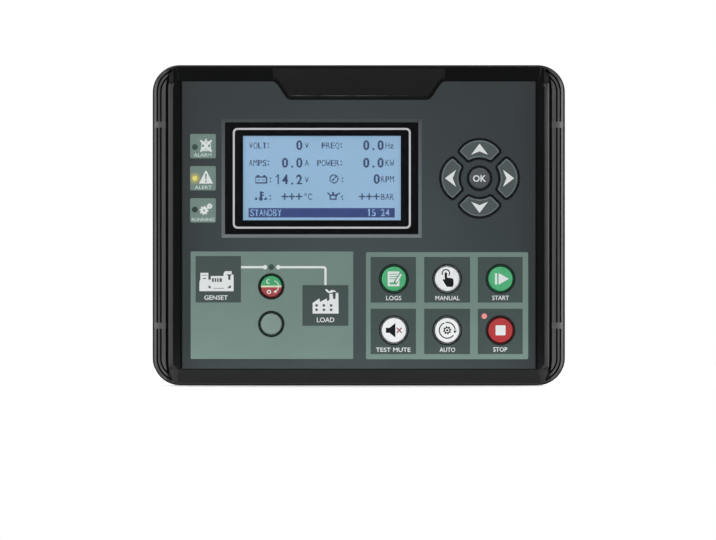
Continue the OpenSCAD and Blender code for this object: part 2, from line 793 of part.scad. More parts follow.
module current_transformers() color("#2c3a55")
    for (i = [0:2]) at(transformer_x + i * transformer_pitch, transformer_z)
        behind(main_board_back_y, main_board_back_y + transformer_d) difference() {
            square(transformer_w, center = true);
            circle(transformer_hole_r);
        }

module clock_battery() color("#b9bec2") at(battery_x, battery_z)
    rod(battery_r, main_board_back_y, main_board_back_y + battery_t);

// Runs its children at each plug: $ways is the plug's number of ways, and z points out of the ledge's row
module terminal_rows() {
    for (n = [0:len(top_ways) - 1]) one_plug(top_ways, n, 1) children();
    for (n = [0:len(bottom_ways) - 1]) one_plug(bottom_ways, n, -1) children();
}

module one_plug(row, n, side) {
    $ways = row[n];
    translate([side * plug_x(row, n), 0, side * plug_z]) rotate([0, side > 0 ? 0 : 180, 0]) children();
}

module each_way(ways)
    for (i = [0:ways - 1]) translate([(i - (ways - 1) / 2) * way_pitch, 0, 0]) children();

module pin_holes(ways)
    each_way(ways) behind(main_board_y - over, main_board_back_y + over) square(pin_hole_w, center = true);

module header(ways) difference() {
    behind(main_board_back_y, ledge_y) square([plug_w(ways), nose_h + 2 * header_wall], center = true);
    behind(main_board_back_y + header_floor_t, ledge_y + over)
        square([plug_w(ways) - 2 * header_wall, nose_h], center = true);
    each_way(ways) behind(main_board_y, ledge_y) square(pin_w + 2 * touch, center = true);
}

module terminal_headers() color("#1f6b3c") terminal_rows() header($ways);

module terminal_pins() color("#c9ccce") terminal_rows() each_way($ways)
    behind(main_board_y - 1.5, ledge_y - 2) square(pin_w, center = true);

// A terminal plug: nose in the header, wire entries on its outer side and screw wells on its rear
module plug(ways) color("#2f8f55") difference() {
    union() {
        behind(ledge_y + slip, ledge_y + plug_d) square([plug_w(ways), plug_h], center = true);
        behind(ledge_y - nose_d, ledge_y + slip + touch)
            square([plug_w(ways) - 2 * header_wall - 2 * slip, nose_h - 2 * slip], center = true);
    }
    each_way(ways) {
        translate([0, ledge_y + plug_d * 0.4, plug_h / 2 - wire_cut / 2 + over / 2])
            cube([wire_w, wire_w, wire_cut + over], center = true);
        rod(screw_well_r, ledge_y + plug_d - terminal_screw_t - 1.2, ledge_y + plug_d + over);
        behind(ledge_y - nose_d - over, ledge_y - 1) square(pin_hole_w, center = true);
    }
}

module top_plug(n) one_plug(top_ways, n, 1) plug(top_ways[n]);

module bottom_plug(n) one_plug(bottom_ways, n, -1) plug(bottom_ways[n]);

// Slotted clamp screws at the bottom of the wells
module terminal_screws() color("#cfd3d6") terminal_rows() each_way($ways) {
    seat = ledge_y + plug_d - terminal_screw_t - 1.2;
    difference() {
        rod(terminal_screw_r, seat, seat + terminal_screw_t);
        translate([0, seat + terminal_screw_t, 0])
            cube([2 * terminal_screw_r + over, 1.2, screw_slot_w], center = true);
    }
}

module usb_socket() color("#c6cacd") at(usb_x, usb_z) difference() {
    behind(main_board_back_y, rear_y - slip) square([usb_w, usb_h], center = true);
    behind(rear_y - usb_depth, rear_y + over) difference() {
        square([usb_mouth_w, usb_mouth_h], center = true);
        square([usb_tongue_w, usb_tongue_h], center = true);
    }
}

// The rear housing: two terminal ledges, a raised middle, four screw columns and slots for the clips
module rear_housing() color("#1a1b1d") {
    difference() {
        union() {
            behind(-shell_front_d, ledge_y) rounded(shell_w, shell_h, shell_r);
            behind(ledge_y - over, rear_y) square([shell_w, middle_h], center = true);
        }
        difference() {
            union() {
                behind(-shell_front_d - over, ledge_y - shell_t)
                    rounded(shell_w - 2 * shell_t, shell_h - 2 * shell_t, shell_r - shell_t);
                behind(ledge_y - shell_t - over, rear_y - shell_t)
                    square([shell_w - 2 * shell_t, middle_h - 2 * shell_t], center = true);
            }
            four(column_x, column_z) rod(column_r, -column_front_d, ledge_y);
        }
        four(column_x, column_z) {
            rod(column_screw_r + 0.2, -column_front_d - over, ledge_y);
            rod(column_head_r + 0.3, -column_front_d + column_floor_t, ledge_y + over);
        }
        terminal_rows() behind(ledge_y - shell_t - over, ledge_y + over)
            square([plug_w($ways) + 2 * slip, nose_h + 2 * header_wall + 2 * slip], center = true);
        at(usb_x, usb_z) behind(rear_y - shell_t - over, rear_y + over)
            square([usb_w + 2 * slip, usb_h + 2 * slip], center = true);
        back_field();
        for (sx = [-1, 1]) for (sz = [-1, 1])
            translate([sx * shell_w / 2, clip_foot_y + clip_hook_t, sz * clip_z])
                cube([4 * shell_t, clip_hook_t + 2 * slip, clip_hook_h + 2 * slip], center = true);
    }
    four(post_x, post_z) difference() {
        rod(boss_r, main_board_back_y, rear_y - shell_t + touch);
        rod(pilot_r, main_board_back_y - over, main_board_back_y + 6);
    }
}

// The bare field sunk in the back, with a group of blind vent slots at each side
module back_field() {
    behind(rear_y - field_d, rear_y + over)
        rounded(shell_w - 2 * field_inset, middle_h - 2 * field_inset, field_r);
    for (s = [-1, 1]) for (i = [0:vent_n - 1])
        at(s * vent_x + (i - (vent_n - 1) / 2) * vent_pitch, vent_z)
            behind(rear_y - field_d - vent_d, rear_y) square([vent_w, vent_h], center = true);
}

module housing_screws() color("#8d9194") four(column_x, column_z) {
    seat = -column_front_d + column_floor_t;
    rod(column_head_r, seat, seat + column_head_t);
    rod(column_screw_r - 0.4, -column_front_d - 4, seat + touch);
}

// A pressed-steel clip: plate along the housing, hook in the housing's slot and a threaded ear
module fixing_clip() {
    x0 = shell_w / 2;
    ear = 2 * (clip_screw_x - x0 - clip_t);
    translate([x0, clip_foot_y, -clip_h / 2]) cube([clip_t, clip_back_y - clip_foot_y, clip_h]);
    translate([x0 - shell_t, clip_foot_y + clip_hook_t / 2, -clip_hook_h / 2])
        cube([shell_t + touch, clip_hook_t, clip_hook_h]);
    difference() {
        translate([x0, clip_ear_y, -clip_h / 2]) cube([clip_t + ear, clip_ear_t, clip_h]);
        translate([clip_screw_x, 0, 0])
            rod(clip_screw_r + 0.1, clip_ear_y - over, clip_ear_y + clip_ear_t + over);
    }
}

module fixing_clips() color("#9ea3a7")
    for (s = [0, 1]) mirror([s, 0, 0]) for (z = [-1, 1]) at(0, z * clip_z) fixing_clip();

// Jacking screws that press the panel against the seal
module clip_screws() color("#b4b8bb")
    for (s = [0, 1]) mirror([s, 0, 0]) for (z = [-1, 1]) at(clip_screw_x, z * clip_z) {
        rod(clip_tip_r, panel_t, panel_t + 1.5);
        rod(clip_screw_r, panel_t + 1, clip_back_y + 6);
        difference() {
            rod(clip_head_r, clip_back_y + 5, clip_back_y + 5 + clip_head_t);
            translate([0, clip_back_y + 5 + clip_head_t, 0])
                cube([2 * clip_head_r + over, 1.2, screw_slot_w], center = true);
        }
    }

front_bezel();
fascia();
window_pane();
panel_seal();
arrow_key(0);  // key_up
arrow_key(90);  // key_left
arrow_key(180);  // key_down
arrow_key(270);  // key_right
ok_key();  // key_ok
breaker_key(0, "#3f9d68");  // key_breaker
breaker_key(1, "#7d918a");  // key_blank
function_key(0, 0, "#3fae74");  // key_logs
function_key(1, 0, "#e6e8e8");  // key_manual
function_key(2, 0, "#3cb371");  // key_start
function_key(0, 1, "#e6e8e8");  // key_mute
function_key(1, 1, "#e6e8e8");  // key_auto
function_key(2, 1, "#c8393b");  // key_stop
lamp(0, "#3b524b");  // lamp_alarm
lamp(1, "#ffd54a");  // lamp_warning
lamp(2, "#3b4a48");  // lamp_running
lamp(3, "#3b524b");  // lamp_breaker
lamp(4, "#ff7a76");  // lamp_stop
lcd_glass();
lcd_frame();
lcd_backlight();
key_board();
key_contacts();
lamp_chips();
key_board_screws();
board_link();
main_board();
main_board_screws();
processor_chips();
relays();
capacitors();
current_transformers();
clock_battery();
terminal_headers();
terminal_pins();
top_plug(0);  // plug_supply
top_plug(1);  // plug_outputs
top_plug(2);  // plug_inputs
bottom_plug(0);  // plug_sensors
bottom_plug(1);  // plug_voltage
bottom_plug(2);  // plug_current
terminal_screws();
usb_socket();
rear_housing();
housing_screws();
fixing_clips();
clip_screws();
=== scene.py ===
import math

import bmesh
import bpy
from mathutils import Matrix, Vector
from mathutils.bvhtree import BVHTree
from mathutils.geometry import tessellate_polygon


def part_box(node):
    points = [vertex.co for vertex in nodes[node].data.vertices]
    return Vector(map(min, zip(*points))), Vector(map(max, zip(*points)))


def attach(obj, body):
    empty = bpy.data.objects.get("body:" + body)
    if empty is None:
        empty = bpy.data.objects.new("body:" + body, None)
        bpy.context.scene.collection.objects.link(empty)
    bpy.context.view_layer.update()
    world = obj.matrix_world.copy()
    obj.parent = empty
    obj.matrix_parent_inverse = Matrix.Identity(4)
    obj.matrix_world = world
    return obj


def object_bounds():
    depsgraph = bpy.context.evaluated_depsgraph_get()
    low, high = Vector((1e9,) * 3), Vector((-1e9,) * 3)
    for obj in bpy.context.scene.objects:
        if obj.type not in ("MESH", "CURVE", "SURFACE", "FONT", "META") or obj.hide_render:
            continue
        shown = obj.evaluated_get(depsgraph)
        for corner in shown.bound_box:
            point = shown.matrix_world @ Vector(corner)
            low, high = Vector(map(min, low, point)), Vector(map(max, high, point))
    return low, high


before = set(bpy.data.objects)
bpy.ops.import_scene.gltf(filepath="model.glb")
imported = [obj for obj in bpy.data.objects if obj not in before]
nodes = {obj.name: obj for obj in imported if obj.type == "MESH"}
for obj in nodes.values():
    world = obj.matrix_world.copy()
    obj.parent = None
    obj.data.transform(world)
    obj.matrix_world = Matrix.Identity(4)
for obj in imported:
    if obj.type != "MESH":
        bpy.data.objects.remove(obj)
cad_box = [list(corner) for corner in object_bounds()]

# ---- layout
# The front's print is laid out in the photograph's pixels: PX is one pixel on the object, in metres,
# and MID is the pixel at the object's middle.
PHOTO_W, PHOTO_H = 716, 540
PX = 0.4764e-3
MID = (358.8, 225.1)
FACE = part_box("fascia")[0].y  # front of the fascia
KEY_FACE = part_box("key_start")[0].y  # front of the keys
PANE_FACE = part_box("window_pane")[0].y
PANE_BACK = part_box("window_pane")[1].y
LCD_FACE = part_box("lcd_glass")[0].y
FILM = 0.02e-3  # thickness of one layer of print
STEP = 0.002e-3  # shapes of one print that cross are this far apart
STEPS = 4  # number of such steps before they start again
DOT = 0.31e-3  # pitch of the display's dots
DOT_GAP = 0.015  # free edge of a dot, as a share of the pitch


def px(x, y):
    """A pixel of the photograph as x and z in metres."""
    return ((x - MID[0]) * PX, (MID[1] - y) * PX)


def pixel(x, z):
    """The photograph's pixel at x and z in metres."""
    return (x / PX + MID[0], MID[1] - z / PX)


def middle(node):
    """The middle of a node in the front view, as x and z."""
    lo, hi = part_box(node)
    return ((lo.x + hi.x) / 2, (lo.z + hi.z) / 2)


def srgb(r, g, b):
    """A colour from its values of 0 to 255 on a screen."""
    return tuple((c / 255 / 12.92) if c <= 10 else ((c / 255 + 0.055) / 1.055) ** 2.4 for c in (r, g, b)) + (1.0,)


def add_object(name, data):
    """A new object in the scene."""
    obj = bpy.data.objects.new(name, data)
    bpy.context.scene.collection.objects.link(obj)
    return obj


# ---- shader nodes
def shader(name, colour, rough, **sockets):
    """A material with one Principled shader; returns the material, its tree and the shader."""
    mat = bpy.data.materials.new(name)
    mat.use_nodes = True
    tree = mat.node_tree
    bsdf = tree.nodes["Principled BSDF"]
    bsdf.inputs["Base Color"].default_value = colour
    bsdf.inputs["Roughness"].default_value = rough
    for key, value in sockets.items():
        bsdf.inputs[key.replace("_", " ")].default_value = value
    mat.diffuse_color = colour
    return mat, tree, bsdf


def put(tree, value, socket):
    """Links a socket to another, or sets a plain value on it."""
    if isinstance(value, bpy.types.NodeSocket):
        tree.links.new(value, socket)
    else:
        socket.default_value = value


def calc(tree, operation, *values):
    """The result of a Math node; the values are sockets or plain numbers."""
    node = tree.nodes.new("ShaderNodeMath")
    node.operation = operation
    for socket, value in zip(node.inputs, values):
        put(tree, value, socket)
    return node.outputs["Value"]


def product(tree, first, *others):
    """Several masks multiplied."""
    for other in others:
        first = calc(tree, "MULTIPLY", first, other)
    return first


def fade(tree, value, start, end, low=0.0, high=1.0, interpolation="LINEAR"):
    """Runs from low to high as a value goes from start to end."""
    node = tree.nodes.new("ShaderNodeMapRange")
    node.interpolation_type = interpolation
    for key, number in (("From Min", start), ("From Max", end), ("To Min", low), ("To Max", high)):
        node.inputs[key].default_value = number
    put(tree, value, node.inputs["Value"])
    return node.outputs["Result"]


def blend(tree, first, second, factor=1.0, mode="MIX"):
    """Two colours mixed; the colours and the factor are sockets or plain values."""
    mix = tree.nodes.new("ShaderNodeMix")
    mix.data_type = "RGBA"
    mix.blend_type = mode
    for key, value in (("Factor", factor), ("A", first), ("B", second)):
        put(tree, value, mix.inputs[key])
    return mix.outputs["Result"]


def two_tone(tree, value, low, high, start=0.3, end=0.7):
    """A colour that runs from low to high as a value goes from start to end."""
    ramp = tree.nodes.new("ShaderNodeValToRGB")
    first, last = ramp.color_ramp.elements
    first.position, first.color = start, low
    last.position, last.color = end, high
    put(tree, value, ramp.inputs["Fac"])
    return ramp.outputs["Color"]


def place(tree):
    """A point's place in the object's own frame."""
    return tree.nodes.new("ShaderNodeTexCoord").outputs["Object"]


def place_xyz(tree):
    """The same, as three numbers."""
    axes = tree.nodes.new("ShaderNodeSeparateXYZ")
    put(tree, place(tree), axes.inputs["Vector"])
    return axes.outputs["X"], axes.outputs["Y"], axes.outputs["Z"]


def distance(tree, x, z):
    """A point's distance from a place on the fascia."""
    node = tree.nodes.new("ShaderNodeVectorMath")
    node.operation = "DISTANCE"
    put(tree, place(tree), node.inputs[0])
    node.inputs[1].default_value = (x, FACE, z)
    return node.outputs["Value"]


def noise(tree, size_mm, detail=3.0, rough=0.55, stretch=(1, 1, 1)):
    """Noise with features of about size_mm."""
    mapping = tree.nodes.new("ShaderNodeMapping")
    mapping.inputs["Scale"].default_value = stretch
    put(tree, place(tree), mapping.inputs["Vector"])
    tex = tree.nodes.new("ShaderNodeTexNoise")
    tex.inputs["Scale"].default_value = 1000.0 / size_mm
    tex.inputs["Detail"].default_value = detail
    tex.inputs["Roughness"].default_value = rough
    put(tree, mapping.outputs["Vector"], tex.inputs["Vector"])
    return tex.outputs["Fac"]


def vary_colour(tree, bsdf, colour, share, value):
    """Lets the base colour wander by a share of itself; returns the new colour."""
    low, high = (tuple(min(1, c * scale) for c in colour[:3]) + (1,) for scale in (1 - share, 1 + share))
    varied = two_tone(tree, value, low, high)
    put(tree, varied, bsdf.inputs["Base Color"])
    return varied


def vary_rough(tree, bsdf, low, high, value):
    """Lets the roughness wander between two values."""
    put(tree, fade(tree, value, 0.3, 0.7, low, high), bsdf.inputs["Roughness"])


def add_bump(tree, bsdf, value, depth_mm):
    """Fine relief of some depth."""
    bump = tree.nodes.new("ShaderNodeBump")
    bump.inputs["Distance"].default_value = depth_mm * 1e-3
    put(tree, value, bump.inputs["Height"])
    put(tree, bump.outputs["Normal"], bsdf.inputs["Normal"])


def base_colour(mat):
    """A material's tree, its base colour's input and what is linked to it."""
    base = mat.node_tree.nodes["Principled BSDF"].inputs["Base Color"]
    return mat.node_tree, base, base.links[0].from_socket


# ---- materials
def moulded(name, colour, share, rough, grain_mm, depth_mm, cloud_mm, **sockets):
    """Moulded plastic, silicone or print: fine grain, slight clouds of colour (a share of it) and of gloss."""
    mat, tree, bsdf = shader(name, colour, rough[0], **sockets)
    vary_colour(tree, bsdf, colour, share, noise(tree, cloud_mm))
    vary_rough(tree, bsdf, rough[0], rough[1], noise(tree, cloud_mm / 4))
    add_bump(tree, bsdf, noise(tree, grain_mm, 2.0), depth_mm)
    return mat


def metal(name, colour, rough, grain_mm=0.5):
    """Plated or brushed metal with fine streaks."""
    mat, tree, bsdf = shader(name, colour, rough[0], Metallic=1.0)
    streak = noise(tree, grain_mm, 3.0, 0.6, (1, 1, 8))
    vary_colour(tree, bsdf, colour, 0.1, streak)
    vary_rough(tree, bsdf, rough[0], rough[1], streak)
    add_bump(tree, bsdf, streak, 0.003)
    return mat


def glow(mat, colour, strength):
    """Adds light of its own to a material."""
    bsdf = mat.node_tree.nodes["Principled BSDF"]
    bsdf.inputs["Emission Color"].default_value = colour
    bsdf.inputs["Emission Strength"].default_value = strength
    return mat


def shaded(mat, x, z, near, far):
    """Paints light and shade into a material's colour by the distance from a place; near and far: a distance and a
    factor.
    """
    tree, base, plain = base_colour(mat)
    share = fade(tree, distance(tree, x, z), near[0], far[0])
    tint = blend(tree, near[1] + (1,), far[1] + (1,), share)
    put(tree, blend(tree, plain, tint, mode="MULTIPLY"), base)


def paint_side_shade(mat, colour, start, end, share):
    """Paints shade into a material towards its left and right edges."""
    tree, base, plain = base_colour(mat)
    mask = fade(tree, calc(tree, "ABSOLUTE", place_xyz(tree)[0]), start, end, 0.0, share)
    put(tree, blend(tree, plain, colour, mask), base)


# Colours of the bezel
BLACK = srgb(10, 11, 12)
CREST_HIGHLIGHT_GREY = srgb(34, 34, 36)  # painted highlight on the ridges' crests
TONGUE_HIGHLIGHT_GREY = srgb(78, 78, 80)  # painted highlight line along the tongue's lower edge
# painted sheen on the fins, the innermost fin and the ties that cross them
FIN_SHEEN_GREY = srgb(37, 37, 39)
INNER_FIN_SHEEN_GREY = srgb(54, 54, 56)  # the innermost fin, with the strongest painted sheen
TIE_SHEEN_GREY = srgb(62, 62, 64)

# Zones of the bezel, each as where it starts and where it is full, in metres.
# Outwards from the fascia's side edge:
RIDGE = (0.0042, 0.0046)
CREST_HIGHLIGHT_FROM, CREST_HIGHLIGHT_TO = (0.0043, 0.0053), (0.0068, 0.0056)
RIDGE_BACK = (0.0062, 0.0075)
# Inwards from the bezel's side edge:
GROOVES = (0.0083, 0.0078)
FINS = (0.0072, 0.0064)
INNER_FIN = (0.0038, 0.0043)
# In height, from the object's middle:
CREST_HIGHLIGHT_ENDS = (0.066, 0.056)
# In depth: the grooves, and behind the fascia's front the outer faces and the ties
GROOVE_DEPTH = (-0.0062, -0.0068)
OUTER_FACES = (0.0005, 0.0015)
TIE_DEPTH = (0.0072, 0.0052)
# Below the round of the shoulder:
GROOVE_BELOW = (0.0005, 0.0011)
SHOULDER_Y, SHOULDER_R = -0.0045, 0.009  # axis and radius of that round
TIE_Z, TIE_H = cad_box[1][2] - 0.0286, 0.0029
# the tongue's painted highlight line: its height and its width
TONGUE_HIGHLIGHT_Z, TONGUE_HIGHLIGHT_H = cad_box[1][2] - 0.01485, 0.0005
TONGUE_HIGHLIGHT_ENDS = (0.034, 0.030)  # the line's ends, from the object's middle
TONGUE_HIGHLIGHT_LEFT = (0.012, -0.012)  # it is stronger on the left of these

BAND_ROUGH, SLOPE_ROUGH, RIDGE_ROUGH = 0.2, 0.22, 0.48
FIN_ROUGH_MORE = 0.04  # added on the fins
GROOVE_GLOSS = 0.2  # factor on the roughness in the grooves


def bezel_material():
    """Black moulding: half-gloss bands and slopes, duller ridges and fins with painted highlights and sheen that grey
    them, black grooves.
    """
    mat, tree, bsdf = shader("bezel_black", BLACK, 0.34)
    colour = vary_colour(tree, bsdf, BLACK, 0.15, noise(tree, 24))
    add_bump(tree, bsdf, noise(tree, 0.3, 2.0), 0.003)
    x, y, z = place_xyz(tree)
    side, height = calc(tree, "ABSOLUTE", x), calc(tree, "ABSOLUTE", z)
    edge, ridge = cad_box[1][0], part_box("fascia")[1].x

    def outwards(zone, *ends):
        return fade(tree, side, ridge + zone[0], ridge + zone[1], *ends)

    def inwards(zone, *ends):
        return fade(tree, side, edge - zone[0], edge - zone[1], *ends)

    def behind_face(zone, *ends):
        return fade(tree, y, FACE + zone[0], FACE + zone[1], *ends)

    # what lies below the round of the shoulder is a groove
    along = calc(tree, "SUBTRACT", side, edge - SHOULDER_R)
    rise = calc(tree, "SQRT", calc(tree, "SUBTRACT", SHOULDER_R ** 2, product(tree, along, along)))
    below = calc(tree, "ADD", calc(tree, "SUBTRACT", y, SHOULDER_Y), rise)
    groove = product(tree, fade(tree, below, *GROOVE_BELOW), inwards(GROOVES), fade(tree, y, *GROOVE_DEPTH))
    # roughness: from the slopes to the ridges and fins, then the outer faces, then the grooves
    rough = calc(tree, "ADD", outwards(RIDGE, SLOPE_ROUGH, RIDGE_ROUGH), outwards(RIDGE_BACK, 0.0, FIN_ROUGH_MORE))
    rough = calc(tree, "MAXIMUM", rough, behind_face(OUTER_FACES, BAND_ROUGH, RIDGE_ROUGH))
    rough = product(tree, rough, fade(tree, groove, 0.0, 1.0, 1.0, GROOVE_GLOSS))
    put(tree, rough, bsdf.inputs["Roughness"])
    # colour: painted highlights on the crests and along the tongue's lower edge, painted sheen on the fins and the
    # ties that cross them
    crest_highlight = product(tree, outwards(CREST_HIGHLIGHT_FROM), outwards(CREST_HIGHLIGHT_TO), fade(tree, height, *CREST_HIGHLIGHT_ENDS))
    tongue_highlight = product(tree, calc(tree, "COMPARE", z, TONGUE_HIGHLIGHT_Z, TONGUE_HIGHLIGHT_H / 2), fade(tree, side, *TONGUE_HIGHLIGHT_ENDS),
                   fade(tree, x, *TONGUE_HIGHLIGHT_LEFT, 0.25, 1.0), fade(tree, noise(tree, 9), 0.36, 0.56))
    fins = calc(tree, "SUBTRACT", inwards(FINS), groove)
    tie_sheen = product(tree, calc(tree, "COMPARE", height, TIE_Z, TIE_H / 2), inwards(FINS), behind_face(TIE_DEPTH))
    for grey, mask in ((CREST_HIGHLIGHT_GREY, crest_highlight), (TONGUE_HIGHLIGHT_GREY, tongue_highlight), (FIN_SHEEN_GREY, fins),
                       (INNER_FIN_SHEEN_GREY, product(tree, fins, inwards(INNER_FIN))), (TIE_SHEEN_GREY, tie_sheen)):
        colour = blend(tree, colour, grey, mask)
    put(tree, colour, bsdf.inputs["Base Color"])
    return mat


def pane_material():
    """Clear polished sheet."""
    mat, tree, bsdf = shader("pane_clear", (0.97, 0.98, 0.99, 1), 0.03, Transmission_Weight=1.0, IOR=1.49)
    add_bump(tree, bsdf, noise(tree, 12, 1.0), 0.002)
    return mat


def lcd_material():
    """Lit display: pale blue backlight, a little uneven, with the faint grid of its dots."""
    mat, tree, bsdf = shader("display_lit", srgb(150, 182, 206), 0.4)
    light = two_tone(tree, noise(tree, 1000 / 26, 1.0, 0.5), srgb(146, 182, 208), srgb(154, 186, 216), 0.3, 0.72)
    grid = tree.nodes.new("ShaderNodeTexBrick")
    grid.offset = 0.0
    for key, value in (("Scale", 1.0), ("Mortar Size", 0.00003), ("Mortar Smooth", 0.5),
                       ("Brick Width", DOT), ("Row Height", DOT), ("Color1", (1, 1, 1, 1)),
                       ("Color2", (1, 1, 1, 1)), ("Mortar", (0.9, 0.92, 0.95, 1))):
        grid.inputs[key].default_value = value
    upright = tree.nodes.new("ShaderNodeMapping")
    upright.inputs["Rotation"].default_value = (math.radians(-90), 0, 0)
    put(tree, place(tree), upright.inputs["Vector"])
    put(tree, upright.outputs["Vector"], grid.inputs["Vector"])
    dotted = blend(tree, light, grid.outputs["Color"], mode="MULTIPLY")
    put(tree, dotted, bsdf.inputs["Base Color"])
    put(tree, dotted, bsdf.inputs["Emission Color"])
    bsdf.inputs["Emission Strength"].default_value = 0.55
    return mat


def breaker_material():
    """One silicone key in two colours: green above its middle, red below."""
    green, red = srgb(62, 168, 110), srgb(168, 66, 68)
    mat, tree, bsdf = shader("key_green_red", srgb(58, 172, 106), 0.45)
    above = calc(tree, "GREATER_THAN", place_xyz(tree)[2], middle("key_breaker")[1])
    put(tree, blend(tree, red, green, above), bsdf.inputs["Base Color"])
    vary_rough(tree, bsdf, 0.4, 0.5, noise(tree, 2))
    add_bump(tree, bsdf, noise(tree, 0.2, 2.0), 0.002)
    return mat


HALO = (0.0011, 0.0034)  # painted glow of the lamp on the tile, from the lamp's middle, in metres: full up to the first, none from the second
HALO_SHARE = 0.7


def lit_tile_material():
    """Sage print with the yellow lamp's glow painted on it as a pool of light."""
    mat = moulded("print_sage_lit", SAGE, 0.04, *SHEET)
    tree, base, plain = base_colour(mat)
    halo = fade(tree, distance(tree, *middle("lamp_warning")), *HALO, HALO_SHARE, 0.0, "SMOOTHSTEP")
    put(tree, blend(tree, plain, srgb(196, 184, 96), halo), base)
    return mat


# Finishes: roughness from and to, grain and its depth in mm, and the size of the clouds in mm
SHEET = ((0.45, 0.55), 0.25, 0.003, 30)
PRINT = ((0.4, 0.5), 0.25, 0.002, 30)
GLOSS_PRINT = ((0.3, 0.42), 0.25, 0.002, 30)
MASK_PRINT = ((0.3, 0.4), 0.25, 0.001, 30)
KEY = ((0.4, 0.5), 0.2, 0.002, 8)
DULL_KEY = ((0.45, 0.58), 0.2, 0.003, 8)
SAGE_KEY = ((0.45, 0.55), 0.2, 0.003, 8)
LENS = ((0.12, 0.2), 0.6, 0.002, 4)
LIT_LENS = ((0.15, 0.25), 0.6, 0.002, 4)
DISPLAY = ((0.4, 0.5), 0.3, 0.001, 3)
RUBBER = ((0.7, 0.85), 0.6, 0.02, 10)
HOUSING = ((0.42, 0.55), 0.5, 0.012, 30)
TERMINAL = ((0.4, 0.52), 0.4, 0.005, 12)
RELAY = ((0.3, 0.4), 0.4, 0.004, 12)
VARNISH = ((0.3, 0.42), 0.4, 0.004, 12)
BOARD = ((0.28, 0.4), 0.8, 0.004, 3)
DIFFUSER = ((0.3, 0.4), 0.4, 0.002, 12)
SAGE = srgb(111, 135, 127)

# Plain materials: name, colour, how far the colour wanders, and finish
PLAIN = {
    "fascia": ("fascia_grey", (43, 55, 57), 0.05, SHEET),
    "rim": ("window_rim_grey", (100, 108, 111), 0.05, PRINT),
    "tile": ("print_dark", (57, 73, 71), 0.05, SHEET),
    "white": ("print_white", (228, 232, 232), 0.02, PRINT),
    "cross": ("print_cross_red", (150, 70, 78), 0.05, PRINT),
    "label": ("print_pale", (204, 217, 212), 0.03, PRINT),
    "cream": ("print_cream", (222, 226, 190), 0.03, PRINT),
    "green_ink": ("print_green", (40, 140, 84), 0.05, PRINT),
    "silver": ("print_silver", (204, 203, 208), 0.04, GLOSS_PRINT),
    "key_grey": ("key_grey", (68, 79, 81), 0.06, DULL_KEY),
    "key_dark": ("key_dark", (72, 77, 82), 0.06, DULL_KEY),
    # painted highlight along the arrow keys' edges
    "key_edge_highlight": ("key_edge_highlight", (102, 113, 116), 0.05, KEY),
    "key_green": ("key_green", (74, 178, 120), 0.05, KEY),
    "key_white": ("key_white", (240, 243, 243), 0.02, KEY),
    "key_red": ("key_red", (178, 46, 50), 0.05, KEY),
    "key_sage": ("key_sage", (124, 146, 138), 0.04, SAGE_KEY),
    "lens_yellow": ("lens_yellow", (208, 198, 118), 0.05, LIT_LENS),
    "lens_red": ("lens_red", (200, 134, 132), 0.05, LIT_LENS),
    "lcd_ink": ("display_ink", (44, 58, 108), 0.06, DISPLAY),
    "lcd_bar": ("display_bar", (60, 79, 134), 0.06, DISPLAY),
    "rubber": ("seal_rubber", (38, 38, 40), 0.2, RUBBER),
    "housing": ("housing_black", (25, 26, 27), 0.15, HOUSING),
    "terminal": ("terminal_green", (45, 128, 78), 0.08, TERMINAL),
    "relay": ("relay_black", (30, 32, 36), 0.1, RELAY),
    "blue": ("transformer_blue", (38, 58, 98), 0.1, VARNISH),
    "board": ("board_green", (24, 86, 52), 0.18, BOARD),
    "diffuser": ("diffuser_white", (236, 240, 243), 0.03, DIFFUSER),
}
mats = {key: moulded(name, srgb(*rgb), share, *finish) for key, (name, rgb, share, finish) in PLAIN.items()}
mats.update({
    "bezel": bezel_material(),
    "sage": moulded("print_sage", SAGE, 0.04, *SHEET),
    "sage_lit": lit_tile_material(),
    "ink": moulded("print_black", srgb(18, 19, 22), 0.1, *PRINT, Specular_IOR_Level=0.2),
    "mask": moulded("window_mask_black", srgb(6, 8, 12), 0.2, *MASK_PRINT, Specular_IOR_Level=0.1),
    "breaker": breaker_material(),
    "lens_off": moulded("lens_off", srgb(66, 90, 83), 0.1, *LENS, Coat_Weight=0.4),
    "lens_dark": moulded("lens_dark", srgb(58, 72, 70), 0.1, *LENS, Coat_Weight=0.4),
    "pane": pane_material(),
    "lcd": lcd_material(),
    "steel": metal("plated_steel", srgb(190, 193, 197), (0.22, 0.4)),
    "clip": metal("clip_steel", srgb(126, 130, 134), (0.38, 0.55), 0.7),
    "gold": metal("contact_gold", srgb(222, 178, 92), (0.2, 0.32)),
    "black_steel": metal("blackened_steel", srgb(58, 59, 62), (0.35, 0.5)),
})
glow(mats["lens_yellow"], srgb(255, 238, 130), 0.2)
glow(mats["lens_red"], srgb(255, 150, 148), 0.3)
glow(mats["lcd_ink"], srgb(40, 54, 116), 0.25)
glow(mats["lcd_bar"], srgb(51, 70, 137), 0.34)
# painted light and shade: the fascia is palest below its middle and darkens towards its corners and sides, the
# window's rim is palest at its lower edge and darker at its top
shaded(mats["fascia"], -0.004, -0.028, (0.01, (1.62, 1.57, 1.53)), (0.112, (0.56, 0.58, 0.66)))
paint_side_shade(mats["fascia"], srgb(14, 18, 20), 0.074, 0.087, 0.6)
shaded(mats["rim"], 0.0, middle("window_pane")[1] - 1.0, (0.972, (1.32, 1.32, 1.32)), (1.028, (0.6, 0.6, 0.62)))

